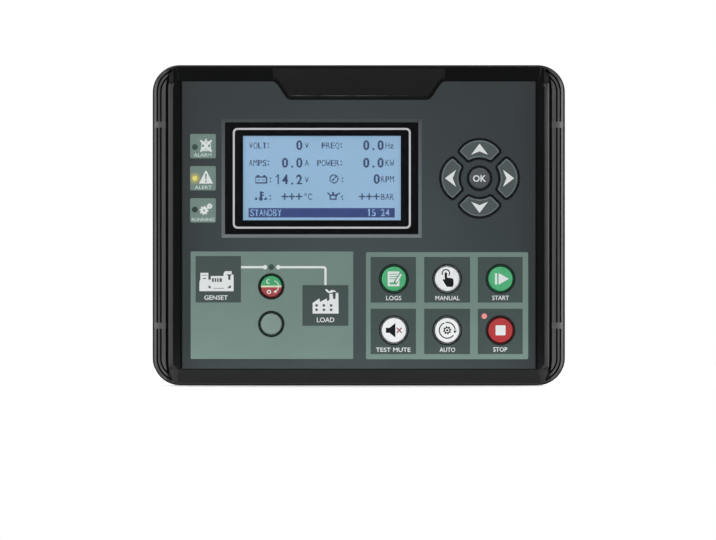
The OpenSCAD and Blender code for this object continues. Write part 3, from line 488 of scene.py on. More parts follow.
# ---- CAD nodes: finish and soft edges
# material, edge rounding in mm, nodes
DRESS = (
    ("bezel", 0.18, "front_bezel"),
    ("fascia", 0.0, "fascia"),
    ("pane", 0.0, "window_pane"),
    ("rubber", 0.3, "panel_seal"),
    ("key_grey", 0.85, "key_up key_down key_left key_right"),
    ("key_dark", 0.0, "key_ok"),
    ("breaker", 0.0, "key_breaker"),
    ("key_sage", 0.0, "key_blank"),
    ("key_green", 0.0, "key_logs key_start"),
    ("key_white", 0.0, "key_manual key_mute key_auto"),
    ("key_red", 0.0, "key_stop"),
    ("lens_off", 0.2, "lamp_alarm lamp_breaker"),
    ("lens_dark", 0.2, "lamp_running"),
    ("lens_yellow", 0.2, "lamp_warning"),
    ("lens_red", 0.2, "lamp_stop"),
    ("diffuser", 0.0, "lcd_glass lcd_backlight"),
    ("board", 0.0, "key_board main_board"),
    ("gold", 0.0, "key_contacts"),
    ("cream", 0.1, "lamp_chips"),
    ("relay", 0.15, "processor_chips"),
    ("relay", 0.2, "board_link"),
    ("relay", 0.4, "relays"),
    ("relay", 0.5, "capacitors"),
    ("blue", 0.4, "current_transformers"),
    ("terminal", 0.15, "terminal_headers"),
    ("terminal", 0.3, "plug_supply plug_outputs plug_inputs plug_sensors plug_voltage plug_current"),
    ("steel", 0.1, "lcd_frame terminal_pins terminal_screws"),
    ("steel", 0.2, "key_board_screws main_board_screws usb_socket clip_screws"),
    ("steel", 0.3, "clock_battery"),
    ("housing", 0.4, "rear_housing"),
    ("black_steel", 0.2, "housing_screws"),
    ("clip", 0.25, "fixing_clips"),
)
SMOOTH_DEG, BEVEL_DEG, FLAT_DEG = 28, 35, 0.5
WELD = 2e-6


def smooth_by_angle(limit_deg):
    """A modifier's node group: smooth faces, with edges sharper than the limit kept sharp."""
    group = bpy.data.node_groups.new("smooth_by_angle_%d" % limit_deg, "GeometryNodeTree")
    group.interface.new_socket("Geometry", in_out="INPUT", socket_type="NodeSocketGeometry")
    group.interface.new_socket("Geometry", in_out="OUTPUT", socket_type="NodeSocketGeometry")
    add, link = group.nodes.new, group.links.new
    start, end = add("NodeGroupInput"), add("NodeGroupOutput")
    faces, edges = add("GeometryNodeSetShadeSmooth"), add("GeometryNodeSetShadeSmooth")
    edges.domain = "EDGE"
    edges.inputs["Shade Smooth"].default_value = False
    angle, sharp = add("GeometryNodeInputMeshEdgeAngle"), add("FunctionNodeCompare")
    sharp.operation = "GREATER_THAN"
    sharp.inputs[1].default_value = math.radians(limit_deg)
    link(angle.outputs["Unsigned Angle"], sharp.inputs[0])
    link(sharp.outputs["Result"], edges.inputs["Selection"])
    link(start.outputs["Geometry"], faces.inputs["Geometry"])
    link(faces.outputs["Geometry"], edges.inputs["Geometry"])
    link(edges.outputs["Geometry"], end.inputs["Geometry"])
    return group


def dress(obj, mat, edge_mm, smooth):
    """Gives a CAD node its material, rounds its edges and smooths its shading."""
    obj.data.materials.clear()
    obj.data.materials.append(mat)
    obj.modifiers.new("weld", "WELD").merge_threshold = WELD
    if edge_mm:
        flat = obj.modifiers.new("flatten", "DECIMATE")
        flat.decimate_type = "DISSOLVE"
        flat.angle_limit = math.radians(FLAT_DEG)
        bevel = obj.modifiers.new("soft_edges", "BEVEL")
        bevel.width = edge_mm * 1e-3
        bevel.segments = 3
        bevel.limit_method = "ANGLE"
        bevel.angle_limit = math.radians(BEVEL_DEG)
    obj.modifiers.new("shading", "NODES").node_group = smooth
    if edge_mm:
        obj.modifiers.new("flats", "WEIGHTED_NORMAL").keep_sharp = True


smooth_group = smooth_by_angle(SMOOTH_DEG)
for mat_name, rounding, names in DRESS:
    for node_name in names.split():
        dress(nodes[node_name], mats[mat_name], rounding, smooth_group)


# ---- print: flat shapes as thin plates
def circle(cx, cy, r, n=40):
    return [(cx + r * math.cos(2 * math.pi * i / n), cy + r * math.sin(2 * math.pi * i / n)) for i in range(n)]


def box(x0, y0, x1, y1, r=0.0, n=5):
    """A rectangle, with round corners if r is given."""
    if not r:
        return [(x0, y0), (x1, y0), (x1, y1), (x0, y1)]
    out = []
    for cx, cy, start in ((x1 - r, y0 + r, 270), (x1 - r, y1 - r, 0), (x0 + r, y1 - r, 90), (x0 + r, y0 + r, 180)):
        for i in range(n + 1):
            a = math.radians(start + 90 * i / n)
            out.append((cx + r * math.cos(a), cy + r * math.sin(a)))
    return out


def stroke(x0, y0, x1, y1, w):
    """A straight line of some width."""
    length = math.hypot(x1 - x0, y1 - y0)
    nx, ny = -(y1 - y0) / length * w / 2, (x1 - x0) / length * w / 2
    return [(x0 + nx, y0 + ny), (x1 + nx, y1 + ny), (x1 - nx, y1 - ny), (x0 - nx, y0 - ny)]


def arc(cx, cy, r, w, start, end, n=24):
    """A round line of some width, from one angle to another."""
    angles = [math.radians(start + (end - start) * i / n) for i in range(n + 1)]
    outer = [(cx + (r + w / 2) * math.cos(a), cy + (r + w / 2) * math.sin(a)) for a in angles]
    inner = [(cx + (r - w / 2) * math.cos(a), cy + (r - w / 2) * math.sin(a)) for a in reversed(angles)]
    return outer + inner


def gear(cx, cy, r, root, teeth, turn=0.0):
    out = []
    step = 360 / teeth
    for i in range(teeth):
        for off, rad in ((-0.3, root), (-0.2, r), (0.2, r), (0.3, root)):
            a = math.radians(turn + (i + off) * step)
            out.append((cx + rad * math.cos(a), cy + rad * math.sin(a)))
    return out


def add_prism(bm, loops, front, back):
    """A plate in the front view from an outline and its holes, given as x and z in metres."""
    flat = [p for loop in loops for p in loop]
    tris = tessellate_polygon([[Vector((p[0], p[1], 0)) for p in loop] for loop in loops])
    fronts = [bm.verts.new((p[0], front, p[1])) for p in flat]
    backs = [bm.verts.new((p[0], back, p[1])) for p in flat]
    for a, b, c in tris:
        pa, pb, pc = flat[a], flat[b], flat[c]
        turn = (pb[0] - pa[0]) * (pc[1] - pa[1]) - (pb[1] - pa[1]) * (pc[0] - pa[0])
        if turn < 0:
            b, c = c, b
        bm.faces.new((fronts[a], fronts[b], fronts[c]))
        bm.faces.new((backs[a], backs[c], backs[b]))
    start = 0
    for loop in loops:
        n = len(loop)
        for i in range(n):
            j = (i + 1) % n
            bm.faces.new((fronts[start + i], backs[start + i], backs[start + j], fronts[start + j]))
        start += n


def add_prisms(bm, shapes, front, back):
    """Several plates of one print, each a step in front of the one before."""
    for n, shape in enumerate(shapes):
        add_prism(bm, shape, front - n % STEPS * STEP, back)


def finish_piece(name, bm, mat, body):
    """Makes an object of a mesh and lets it ride on a body."""
    bmesh.ops.recalc_face_normals(bm, faces=bm.faces)
    mesh = bpy.data.meshes.new(name)
    bm.to_mesh(mesh)
    bm.free()
    mesh.materials.append(mats[mat])
    obj = add_object(name, mesh)
    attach(obj, body)


# ---- words
CAP = 0.729  # height of a capital in the built-in font
PRINT_BOLD, KEY_BOLD = 0.012, 0.02  # what the letters grow by, in the font's units


def glyphs(text, bold):
    """A flat mesh of capitals or figures in the built-in font, and its extent in x."""
    curve = bpy.data.curves.new("lettering", "FONT")
    curve.body = text
    curve.offset = bold
    curve.resolution_u = 3
    obj = add_object("lettering", curve)
    bpy.context.view_layer.update()
    plane = bmesh.new()
    plane.from_mesh(obj.evaluated_get(bpy.context.evaluated_depsgraph_get()).to_mesh())
    bmesh.ops.remove_doubles(plane, verts=plane.verts, dist=1e-5)
    plane.verts.index_update()
    bpy.data.objects.remove(obj)
    bpy.data.curves.remove(curve)
    xs = [v.co.x for v in plane.verts]
    return plane, min(xs), max(xs)


def lettering(bm, text, cx, cz, cap, width, front, back, bold):
    """Words about a point as plates: cap is the height of a capital, all in metres."""
    plane, x0, x1 = glyphs(text, bold)
    scale_x, scale_z = width / (x1 - x0), cap / CAP
    at = [(cx + (v.co.x - (x0 + x1) / 2) * scale_x, cz + (v.co.y - CAP / 2) * scale_z) for v in plane.verts]
    fronts = [bm.verts.new((x, front, z)) for x, z in at]
    backs = [bm.verts.new((x, back, z)) for x, z in at]
    for face in plane.faces:
        ids = [v.index for v in face.verts]
        bm.faces.new([fronts[i] for i in ids])
        bm.faces.new([backs[i] for i in reversed(ids)])
    for edge in plane.edges:
        if edge.is_boundary:
            i, j = edge.verts[0].index, edge.verts[1].index
            bm.faces.new((fronts[i], backs[i], backs[j], fronts[j]))
    plane.free()


def covered(loops, x, z):
    """Whether a point lies in a shape that is given as an outline and its holes."""
    odd = False
    for loop in loops:
        for (ax, az), (bx, bz) in zip(loop, loop[1:] + loop[:1]):
            if (az > z) != (bz > z) and x < ax + (z - az) / (bz - az) * (bx - ax):
                odd = not odd
    return odd


def add_dot(bm, i, k, front, back):
    """One dot of the display, by its column and row from the object's middle."""
    corners = box(DOT_GAP, DOT_GAP, 1 - DOT_GAP, 1 - DOT_GAP)
    add_prism(bm, [[((i + u) * DOT, (k + v) * DOT) for u, v in corners]], front, back)


# Characters of the display that are drawn here, as shares of their cell, and marks that keep their own width
DRAWN = {
    "1": [[(0.4, 0.0), (0.66, 0.0), (0.66, 1.0), (0.46, 1.0), (0.14, 0.8), (0.14, 0.66), (0.4, 0.78)]],
    "M": [box(0, 0, 0.17, 1), box(0.83, 0, 1, 1), box(0.17, 0.7, 0.34, 0.9), box(0.66, 0.7, 0.83, 0.9),
          box(0.34, 0.5, 0.66, 0.7)],
    "W": [box(0, 0.2, 0.17, 1), box(0.83, 0.2, 1, 1), box(0.17, 0, 0.34, 0.2), box(0.66, 0, 0.83, 0.2),
          box(0.34, 0.2, 0.66, 0.6)],
    ":": [box(0.17, 0.1, 0.5, 0.3), box(0.17, 0.6, 0.5, 0.8)],
}
NARROW = ".°"
ROWS_BELOW, ROWS_ABOVE = 2, 1  # rows that a character may use beyond its cell


def character_dots(char, width, height, bold):
    """The columns and rows of the dots that make a character in a cell of the display."""
    cells = [(i, k) for i in range(width) for k in range(-ROWS_BELOW, height + ROWS_ABOVE)]
    if char == " ":
        return []
    if char in DRAWN:
        return [(i, k) for i, k in cells if covered(DRAWN[char], (i + 0.5) / width, (k + 0.5) / height)]
    plane, x0, x1 = glyphs(char, bold)
    flat = BVHTree.FromBMesh(plane)
    pitch = CAP / height if char in NARROW else (x1 - x0) / width
    out = []
    for i, k in cells:
        at = ((x0 + x1) / 2 + (i + 0.5 - width / 2) * pitch, (k + 0.5) * CAP / height, 1)
        if flat.ray_cast(at, (0, 0, -1))[0]:
            out.append((i, k))
    plane.free()
    return out


def dot_lettering(bm, text, x, y, cell, align, front, back):
    """Words in the display's dots at a pixel of the photograph; align says which end of them is there."""
    pitch, width, height, bold = cell
    columns = len(text) * pitch - (pitch - width)
    cx, cz = px(x, y)
    column = round(cx / DOT) - {"left": 0, "mid": columns // 2, "right": columns}[align]
    row = round(cz / DOT - height / 2)
    for n, char in enumerate(text):
        for i, k in character_dots(char, width, height, bold):
            add_dot(bm, column + n * pitch + i, row + k, front, back)


def dot_shape(bm, loops, front, back):
    """A shape made of the display's dots: an outline and its holes, as x and z in metres."""
    xs, zs = [p[0] / DOT for p in loops[0]], [p[1] / DOT for p in loops[0]]
    for i in range(math.floor(min(xs)), math.ceil(max(xs))):
        for k in range(math.floor(min(zs)), math.ceil(max(zs))):
            if covered(loops, (i + 0.5) * DOT, (k + 0.5) * DOT):
                add_dot(bm, i, k, front, back)


# ---- print on the fascia
def to_face(shape):
    """A shape, an outline and its holes, from the photograph's pixels to x and z in metres."""
    return [[px(*p) for p in loop] for loop in shape]


def print_piece(name, mat, layer, shapes, words=()):
    """Shapes and words in the photograph's pixels, printed on the fascia."""
    bm = bmesh.new()
    front = FACE - layer * FILM
    add_prisms(bm, [to_face(shape) for shape in shapes], front, front + FILM)
    for text, x, y, cap, width in words:
        lettering(bm, text, *px(x, y), cap * PX, width * PX, front, front + FILM, PRINT_BOLD)
    finish_piece(name, bm, mat, "controller")


def key_piece(name, key, mat, layer, shapes, words=()):
    """Shapes and words in pixels from a key's middle, y up, printed on the key."""
    bm = bmesh.new()
    front = KEY_FACE - layer * FILM
    cx, cz = middle(key)
    placed = [[[(cx + x * PX, cz + y * PX) for x, y in loop] for loop in shape] for shape in shapes]
    add_prisms(bm, placed, front, front + FILM)
    for text, x, y, cap, width in words:
        lettering(bm, text, cx + x * PX, cz + y * PX, cap * PX, width * PX, front, front + FILM, KEY_BOLD)
    finish_piece(name, bm, mat, key)


def hole(node, r_px):
    """The outline of a key's or lamp's aperture in the photograph's pixels."""
    return circle(*pixel(*middle(node)), r_px, 48)


# Radii of the apertures, in pixels
FUNCTION_R, BREAKER_R, LAMP_R, OK_R = 14.0, 12.05, 2.9, 12.1

# Sage fields and the dark tiles on them; a column has its left and right edge and its keys from top to bottom
COLUMNS = (
    (370.6, 416.0, ("key_logs", "key_mute")),
    (424.2, 470.1, ("key_manual", "key_auto")),
    (477.8, 522.7, ("key_start", "key_stop")),
)
ROWS = ((256.9, 302.6), (308.7, 354.1))
key_tiles = [(key, box(left, top, right, bottom))
             for left, right, keys in COLUMNS for key, (top, bottom) in zip(keys, ROWS)]
print_piece("print_breaker_field", "sage", 1, [
    [box(190.7, 251.5, 353.2, 358.9, 0.8), hole("key_breaker", BREAKER_R), hole("key_blank", BREAKER_R),
     hole("lamp_breaker", LAMP_R)],
])
print_piece("print_key_frame", "sage", 1, [
    [box(366, 252.2, 528.2, 359.2, 1.6)] + [tile for key, tile in key_tiles],
])
print_piece("print_status_tiles", "sage_lit", 1, [
    [box(190.2, top, 215.8, top + 24.3, 1.4), hole(lamp, LAMP_R)]
    for top, lamp in ((134.0, "lamp_alarm"), (166.1, "lamp_warning"), (198.2, "lamp_running"))
])
print_piece("print_key_tiles", "tile", 1, [
    [tile, hole(key, FUNCTION_R)] + ([hole("lamp_stop", LAMP_R)] if key == "key_stop" else [])
    for key, tile in key_tiles
])
print_piece("print_line_tiles", "tile", 2, [
    [box(195.6, 256.0, 241.0, 302.5)],
    [box(302.4, 285.1, 348.4, 325.8)],
])

# Black rings round the keys' apertures: painted shade that widens the dark gap round each key
print_piece("key_ring_shade", "ink", 2, [
    [hole(key, FUNCTION_R + 1.0), hole(key, FUNCTION_R)] for key, tile in key_tiles
] + [[hole(key, BREAKER_R + 1.2), hole(key, BREAKER_R)] for key in ("key_breaker", "key_blank")])


def offset_loop(loop, d):
    """A loop, run anticlockwise, grown by d, with round corners where it grows."""
    out = []
    for i, b in enumerate(loop):
        a, c = loop[i - 1], loop[(i + 1) % len(loop)]
        t0, t1 = math.atan2(b[1] - a[1], b[0] - a[0]), math.atan2(c[1] - b[1], c[0] - b[0])
        turn = (t1 - t0 + math.pi) % (2 * math.pi) - math.pi
        if d * turn > 0 and abs(turn) > 0.3:
            steps = [t0 + turn * k / 6 - math.pi / 2 for k in range(7)]
            out += [(b[0] + d * math.cos(t), b[1] + d * math.sin(t)) for t in steps]
        else:
            t, reach = t0 + turn / 2 - math.pi / 2, d / math.cos(turn / 2)
            out.append((b[0] + reach * math.cos(t), b[1] + reach * math.sin(t)))
    return out


# The arrow keys' outline, in mm from the pad's middle, as for the key that points up
REACH, LOBE_R = 18.2, 11.2  # outermost point and radius of the outer lobe
INNER_R = 9.9  # radius of the inner edge
SIDE_GAP = 2.15  # half the gap between two keys
CORNER_R = 0.9
CLEAR = 0.7  # gap between a key and its aperture


def arrow_core():
    """The outline before its corners are rounded, drawn in by their radius."""
    lobe_z, root = REACH - LOBE_R, SIDE_GAP * math.sqrt(2)
    lobe_x = ((lobe_z - root) + math.sqrt(2 * LOBE_R ** 2 - (lobe_z - root) ** 2)) / 2
    inner_x = (-root + math.sqrt(2 * INNER_R ** 2 - root ** 2)) / 2
    lobe_a = math.atan2(lobe_x + root - lobe_z, lobe_x)
    inner_a = math.atan2(inner_x + root, inner_x)
    outer = [lobe_a + (math.pi - 2 * lobe_a) * k / 24 for k in range(25)]
    inner = [math.pi - inner_a - (math.pi - 2 * inner_a) * k / 10 for k in range(11)]
    outline = [(LOBE_R * math.cos(a), lobe_z + LOBE_R * math.sin(a)) for a in outer]
    outline += [(INNER_R * math.cos(a), INNER_R * math.sin(a)) for a in inner]
    return offset_loop(outline, -CORNER_R)


core = arrow_core()
pad = pixel(*middle("key_ok"))


def pad_loop(grow, direction):
    """The arrow keys' outline grown by some mm, turned to a direction, in the photograph's pixels."""
    ux, uz = direction
    scale = 1e-3 / PX
    return [(pad[0] + (x * uz + z * ux) * scale, pad[1] - (z * uz - x * ux) * scale)
            for x, z in offset_loop(core, CORNER_R + grow)]


ARROWS = {"key_up": (0, 1), "key_left": (-1, 0), "key_down": (0, -1), "key_right": (1, 0)}
# the same painted shade round the arrow keys and the OK key
print_piece("arrow_ring_shade", "ink", 1, [
    [pad_loop(CLEAR + 0.4, direction), pad_loop(CLEAR, direction)] for direction in ARROWS.values()
])
print_piece("ok_ring_shade", "ink", 1, [[hole("key_ok", OK_R + 0.9), hole("key_ok", OK_R)]])

# The line from the generating set over the breaker to the load
print_piece("print_line", "white", 3, [
    [box(241.0, 266.1, 263.4, 268.3)],
    [circle(265.0, 267.2, 2.2, 24)],
    [circle(278.3, 267.2, 2.2, 24)],
    [box(279.6, 266.1, 323.4, 268.3)],
    [arc(323.4, 269.3, 2.1, 2.2, -90, 0, 8)],
    [box(324.4, 269.3, 326.6, 285.1)],
])

# Signs on the tiles
print_piece("sign_generating_set", "white", 3, [
    [[(199.4, 291.2), (199.4, 282.0), (200.4, 279.0), (200.4, 272.8), (208.4, 272.8), (208.4, 279.6), (210.8, 279.6),
      (210.8, 276.0), (223.6, 276.0), (223.6, 273.4), (225.0, 271.2), (231.6, 271.2), (231.6, 274.0), (233.6, 275.0),
      (233.6, 291.2)],
     box(212.0, 278.2, 221.8, 281.9),
     [(226.4, 274.4), (232.0, 274.4), (230.4, 276.0), (230.4, 279.8), (228.2, 279.8), (228.2, 276.0)],
     [(208.6, 285.0), (210.6, 286.6), (211.0, 288.4), (208.6, 288.0)],
     [(230.9, 285.0), (228.6, 286.6), (227.6, 288.4), (230.9, 288.0)],
     box(201.6, 275.0, 207.2, 275.5), box(202.8, 278.0, 206.2, 278.9), box(213.4, 288.0, 224.0, 288.5)],
])
print_piece("sign_generating_set_slats", "white", 3, [
    [box(213.8 + 2.4 * i, 278.0, 214.7 + 2.4 * i, 282.1)] for i in range(3)
])
print_piece("sign_load", "white", 3, [
    [[(312.6, 313.6), (312.6, 303.0), (319.4, 298.4), (320.2, 302.0), (326.6, 298.4), (327.2, 301.2), (329.4, 300.0),
      (329.4, 293.8), (332.6, 293.8), (333.2, 299.0), (335.4, 299.0), (335.8, 292.8), (338.4, 292.8), (338.6, 313.6)]]
    + [circle(x, y, 1.35, 12) for x in (316.6, 323.9, 331.1) for y in (305.4, 309.8)],
    [[(325.0, 289.2), (327.4, 289.4), (329.2, 291.4), (331.4, 290.0), (334.4, 290.2), (336.6, 292.0), (334.0, 291.8),
      (331.8, 292.8), (328.8, 293.2), (326.4, 291.6)]],
])
print_piece("sign_alarm_bell", "label", 3, [
    [[(200.7, 149.4), (201.0, 145.6), (201.5, 143.1), (203.2, 141.3), (205.0, 140.6), (205.2, 138.7), (206.8, 138.7),
      (207.0, 140.6), (208.8, 141.3), (210.5, 143.1), (211.0, 145.6), (211.3, 149.4), (209.2, 151.2), (202.8, 151.2)],
     circle(202.9, 145.7, 1.2, 16), circle(209.1, 145.7, 1.2, 16)],
])
print_piece("sign_alarm", "white", 4, [
    [stroke(200.4, 140.3, 211.6, 151.6, 1.8)],
    [stroke(211.6, 140.3, 200.4, 151.6, 1.8)],
])
print_piece("sign_alert", "white", 3, [
    [[(198.9, 183.6), (205.3, 170.9), (206.6, 170.9), (213.0, 183.6)],
     [(205.1, 173.8), (206.8, 173.8), (206.5, 179.6), (205.4, 179.6)], circle(205.95, 181.5, 0.9, 10)],
])
print_piece("sign_running", "white", 3, [
    [gear(204.0, 210.4, 4.6, 3.5, 8, 10), circle(204.0, 210.4, 1.0, 16)],
    [gear(209.6, 206.2, 3.0, 2.3, 8, 20), circle(209.6, 206.2, 0.6, 12)],
])
print_piece("words_status", "label", 3, [], [
    ("ALARM", 202.6, 154.9, 3.5, 17.5), ("ALERT", 203.2, 187.2, 3.5, 17.0), ("RUNNING", 203.0, 219.4, 3.5, 22.5),
])
print_piece("words_lines", "white", 3, [], [("GENSET", 216.0, 297.4, 4.6, 23.5), ("LOAD", 325.6, 319.7, 4.8, 17.5)])
print_piece("words_keys", "white", 3, [], [
    ("LOGS", 393.7, 297.9, 4.5, 15.2), ("MANUAL", 447.5, 297.9, 4.5, 24.4), ("START", 500.6, 297.7, 4.5, 16.6),
    ("TEST MUTE", 393.2, 349.6, 4.4, 34.6), ("AUTO", 447.4, 349.6, 4.5, 15.8), ("STOP", 500.2, 349.3, 4.5, 14.0),
])

# ---- signs on the keys
ARROW_SIGN = ((34.6, 0.0), (23.5, -8.4), (26.9, 0.0), (23.5, 8.4))  # pixels out from the pad's middle, and across
KEY_EDGE_HIGHLIGHT = (-0.3, -0.75)  # outer and inner edge of the pale rings painted round the arrow keys as highlights along their edges, as growth in mm
for key in ("key_up", "key_down", "key_left", "key_right"):
    ux, uz = ARROWS[key]
    here = pixel(*middle(key))
    sign = [(pad[0] - here[0] + along * ux + across * uz, here[1] - pad[1] + along * uz - across * ux)
            for along, across in ARROW_SIGN]
    key_piece("sign_" + key[4:], key, "white", 1, [[sign]])
    # a pale ring on each arrow key: painted highlight along its edge
    rim = [[(x - here[0], here[1] - y) for x, y in pad_loop(grow, ARROWS[key])] for grow in KEY_EDGE_HIGHLIGHT]
    key_piece("rim_" + key[4:], key, "key_edge_highlight", 1, [rim])
key_piece("sign_ok", "key_ok", "white", 1, [], [("OK", 0, 0, 6.6, 13.2)])

key_piece("sign_logs", "key_logs", "white", 1, [
    [box(-6.2, -7.4, 5.6, 7.4, 0.8), box(-4.4, 4.3, 3.4, 5.0), box(-4.4, 2.0, 3.4, 2.7), box(-4.4, -0.3, 1.8, 0.4),
     box(-4.2, -5.6, 2.2, -3.6, 0.3)],
])
key_piece("sign_logs_gap", "key_logs", "green_ink", 2, [[stroke(1.2, -4.6, 7.4, 5.4, 3.6)]])
key_piece("sign_logs_pencil", "key_logs", "white", 3, [
    [[(1.4, -4.6), (1.9, -1.9), (6.4, 5.3), (8.3, 4.1), (3.8, -3.1)]],
])
key_piece("sign_manual", "key_manual", "ink", 1, [
    [[(-2.5, 5.4), (-2.1, 6.2), (-1.3, 6.5), (-0.5, 6.2), (-0.1, 5.4), (-0.1, 1.2), (3.6, 0.8), (5.6, 0.3),
      (6.3, -0.9), (6.3, -6.0), (5.4, -8.0), (-0.4, -8.0), (-2.6, -4.6), (-4.6, -1.0), (-4.0, -0.2), (-2.9, -0.6),
      (-2.5, -1.0)]],
    [arc(-1.3, 5.6, 3.7, 1.1, -40, 205)],
])
key_piece("sign_start", "key_start", "white", 1, [
    [box(-5.6, -5.7, -3.4, 5.7, 0.2)],
    [[(-1.9, 5.8), (-1.9, -5.8), (8.4, 0.0)]],
])
key_piece("sign_mute", "key_mute", "ink", 1, [
    [[(-8.0, 2.5), (-4.4, 2.5), (1.5, 7.2), (1.5, -7.2), (-4.4, -2.5), (-8.0, -2.5)]],
])
key_piece("sign_mute_cross", "key_mute", "cross", 1, [
    [stroke(2.9, -2.6, 7.9, 2.6, 1.2)], [stroke(7.9, -2.6, 2.9, 2.6, 1.2)],
])
key_piece("sign_auto", "key_auto", "ink", 1, [
    [gear(0, 0, 4.2, 3.2, 8, 12), circle(0, 0, 2.1, 20)],
    [arc(0, 0, 7.9, 1.1, 4, 100, 24)],
    [arc(0, 0, 7.9, 1.1, 112, 322, 40)],
    [[(6.2, -0.4), (9.4, -0.2), (7.6, -3.2)]],
    [circle(0, 0, 1.1, 12)],
])
key_piece("sign_stop", "key_stop", "white", 1, [[box(-5.0, -5.0, 5.0, 5.0, 1.0)]])
key_piece("sign_breaker", "key_breaker", "cream", 1, [[box(-10.0, -0.9, 10.0, 0.9)]])
key_piece("sign_breaker_marks", "key_breaker", "white", 2, [
    [arc(-2.8, 4.9, 1.8, 0.9, 60, 300, 16)],
    [circle(-2.3, -5.5, 2.2, 24), circle(-2.3, -5.5, 1.1, 20)],
    [arc(1.8, 0.0, 5.6, 0.8, -68, 76, 20)],
    [[(2.0, -5.9), (5.4, -6.6), (4.4, -3.6)]],
])

# ---- display
# Sloping rim round the window: a thin sheet on the fascia's slope
RIM_W, RIM_H = 0.0461, 0.0267  # half its width and height at the foot of the slope
RIM_SPREAD = 1.6e-3  # how much further out it is at the fascia's front
RIM_FRONT, RIM_BACK = 0.03e-3, -0.02e-3  # how far its two faces lie off the slope
OFF_IN, OFF_FRONT = 0.6, 0.8  # the direction off the slope: inwards and to the front
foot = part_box("fascia")[1].y
wx, wz = middle("window_pane")
bm = bmesh.new()
rings = []
for grow, y, lift in ((0.0, foot, RIM_FRONT), (RIM_SPREAD, FACE, RIM_FRONT),
                      (RIM_SPREAD, FACE, RIM_BACK), (0.0, foot, RIM_BACK)):
    w, h = RIM_W + grow - lift * OFF_IN, RIM_H + grow - lift * OFF_IN
    corners = ((-w, -h), (w, -h), (w, h), (-w, h))
    rings.append([bm.verts.new((wx + dx, y - lift * OFF_FRONT, wz + dz)) for dx, dz in corners])
for a, b in zip(rings, rings[1:] + rings[:1]):
    for i in range(4):
        j = (i + 1) % 4
        bm.faces.new((a[i], a[j], b[j], b[i]))
finish_piece("window_rim", bm, "rim", "controller")


def display_piece(name, mat, front, shapes, words=(), dotted=(), depth=FILM):
    """Plain shapes, words in dots and shapes in dots, in the photograph's pixels."""
    bm = bmesh.new()
    add_prisms(bm, [to_face(shape) for shape in shapes], front, front + depth)
    for text, x, y, cell, align in words:
        dot_lettering(bm, text, x, y, cell, align, front, front + depth)
    for n, shape in enumerate(dotted):
        dot_shape(bm, to_face(shape), front - n % STEPS * STEP, front + depth)
    finish_piece(name, bm, mat, "controller")


MASK_INSET = 0.4  # pixels from the pane's edge to the mask
MASK_GAP = 0.08e-3  # from the pane's back to the mask
LIT = 0.05e-3  # thickness of the lit sheet
lo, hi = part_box("window_pane")
left, top = pixel(lo.x + MASK_INSET * PX, hi.z - MASK_INSET * PX)
right, bottom = pixel(hi.x - MASK_INSET * PX, lo.z + MASK_INSET * PX)
display_piece("window_mask", "mask", PANE_BACK - MASK_GAP, [
    [box(left, top, right, bottom), box(243.0, 135.8, 400.8, 220.2)],
])
display_piece("window_line", "silver", PANE_FACE - FILM, [
    [box(232.8, 127.9, 410.8, 228.6, 4.6, 8), box(234.7, 129.8, 408.9, 226.7, 3.0, 8)],
])
display_piece("display_lit", "lcd", LCD_FACE - LIT, [[box(241.0, 134.0, 402.8, 222.2)]], depth=LIT)

# Characters of the display: pitch, width and height in dots, and weight
SMALL, BIG, BAR = (7, 6, 10, 0.008), (11, 9, 15, 0.024), (7, 6, 11, 0.01)
ink_y = LCD_FACE - LIT - FILM
FIGURES = (("0", 302.2, 145.0), ("0.0", 383.6, 145.0), ("0.0", 302.2, 162.1), ("0.0", 383.6, 162.0),
           ("14.2", 302.2, 179.1), ("0", 379.6, 178.8))
UNITS = {
    "left": (("VOLT:", 248.8, 145.2), ("FREQ:", 321.6, 145.2), ("AMPS:", 248.8, 162.6), ("POWER:", 317.0, 162.4)),
    "mid": (("V", 307.0, 145.2), ("A", 307.0, 162.6), ("V", 307.0, 179.4), (":", 271.0, 179.4), (":", 343.2, 179.4),
            (":", 271.0, 196.8), (":", 343.2, 196.8)),
    "right": (("Hz", 394.0, 145.2), ("KW", 394.0, 162.4), ("RPM", 394.0, 179.0), ("°C", 312.2, 196.4),
              ("BAR", 394.0, 196.2)),
}
display_piece("display_figures", "lcd_ink", ink_y, [], [word + (BIG, "right") for word in FIGURES])
display_piece("display_units", "lcd_ink", ink_y, [], [
    word + (SMALL, align) for align, words in UNITS.items() for word in words
])
PLUS_X, PLUS_Y = (284.4, 291.6, 298.8, 362.0, 369.2, 376.4), 196.4
PLUS_HALF, PLUS_W = 3.2, 1.3  # half the length of its strokes, and their width
pluses = [[stroke(x - PLUS_HALF, PLUS_Y, x + PLUS_HALF, PLUS_Y, PLUS_W)] for x in PLUS_X]
pluses += [[stroke(x, PLUS_Y - PLUS_HALF, x, PLUS_Y + PLUS_HALF, PLUS_W)] for x in PLUS_X]
display_piece("display_bar", "lcd_bar", ink_y, [[box(248.4, 208.0, 394.8, 217.4)]])
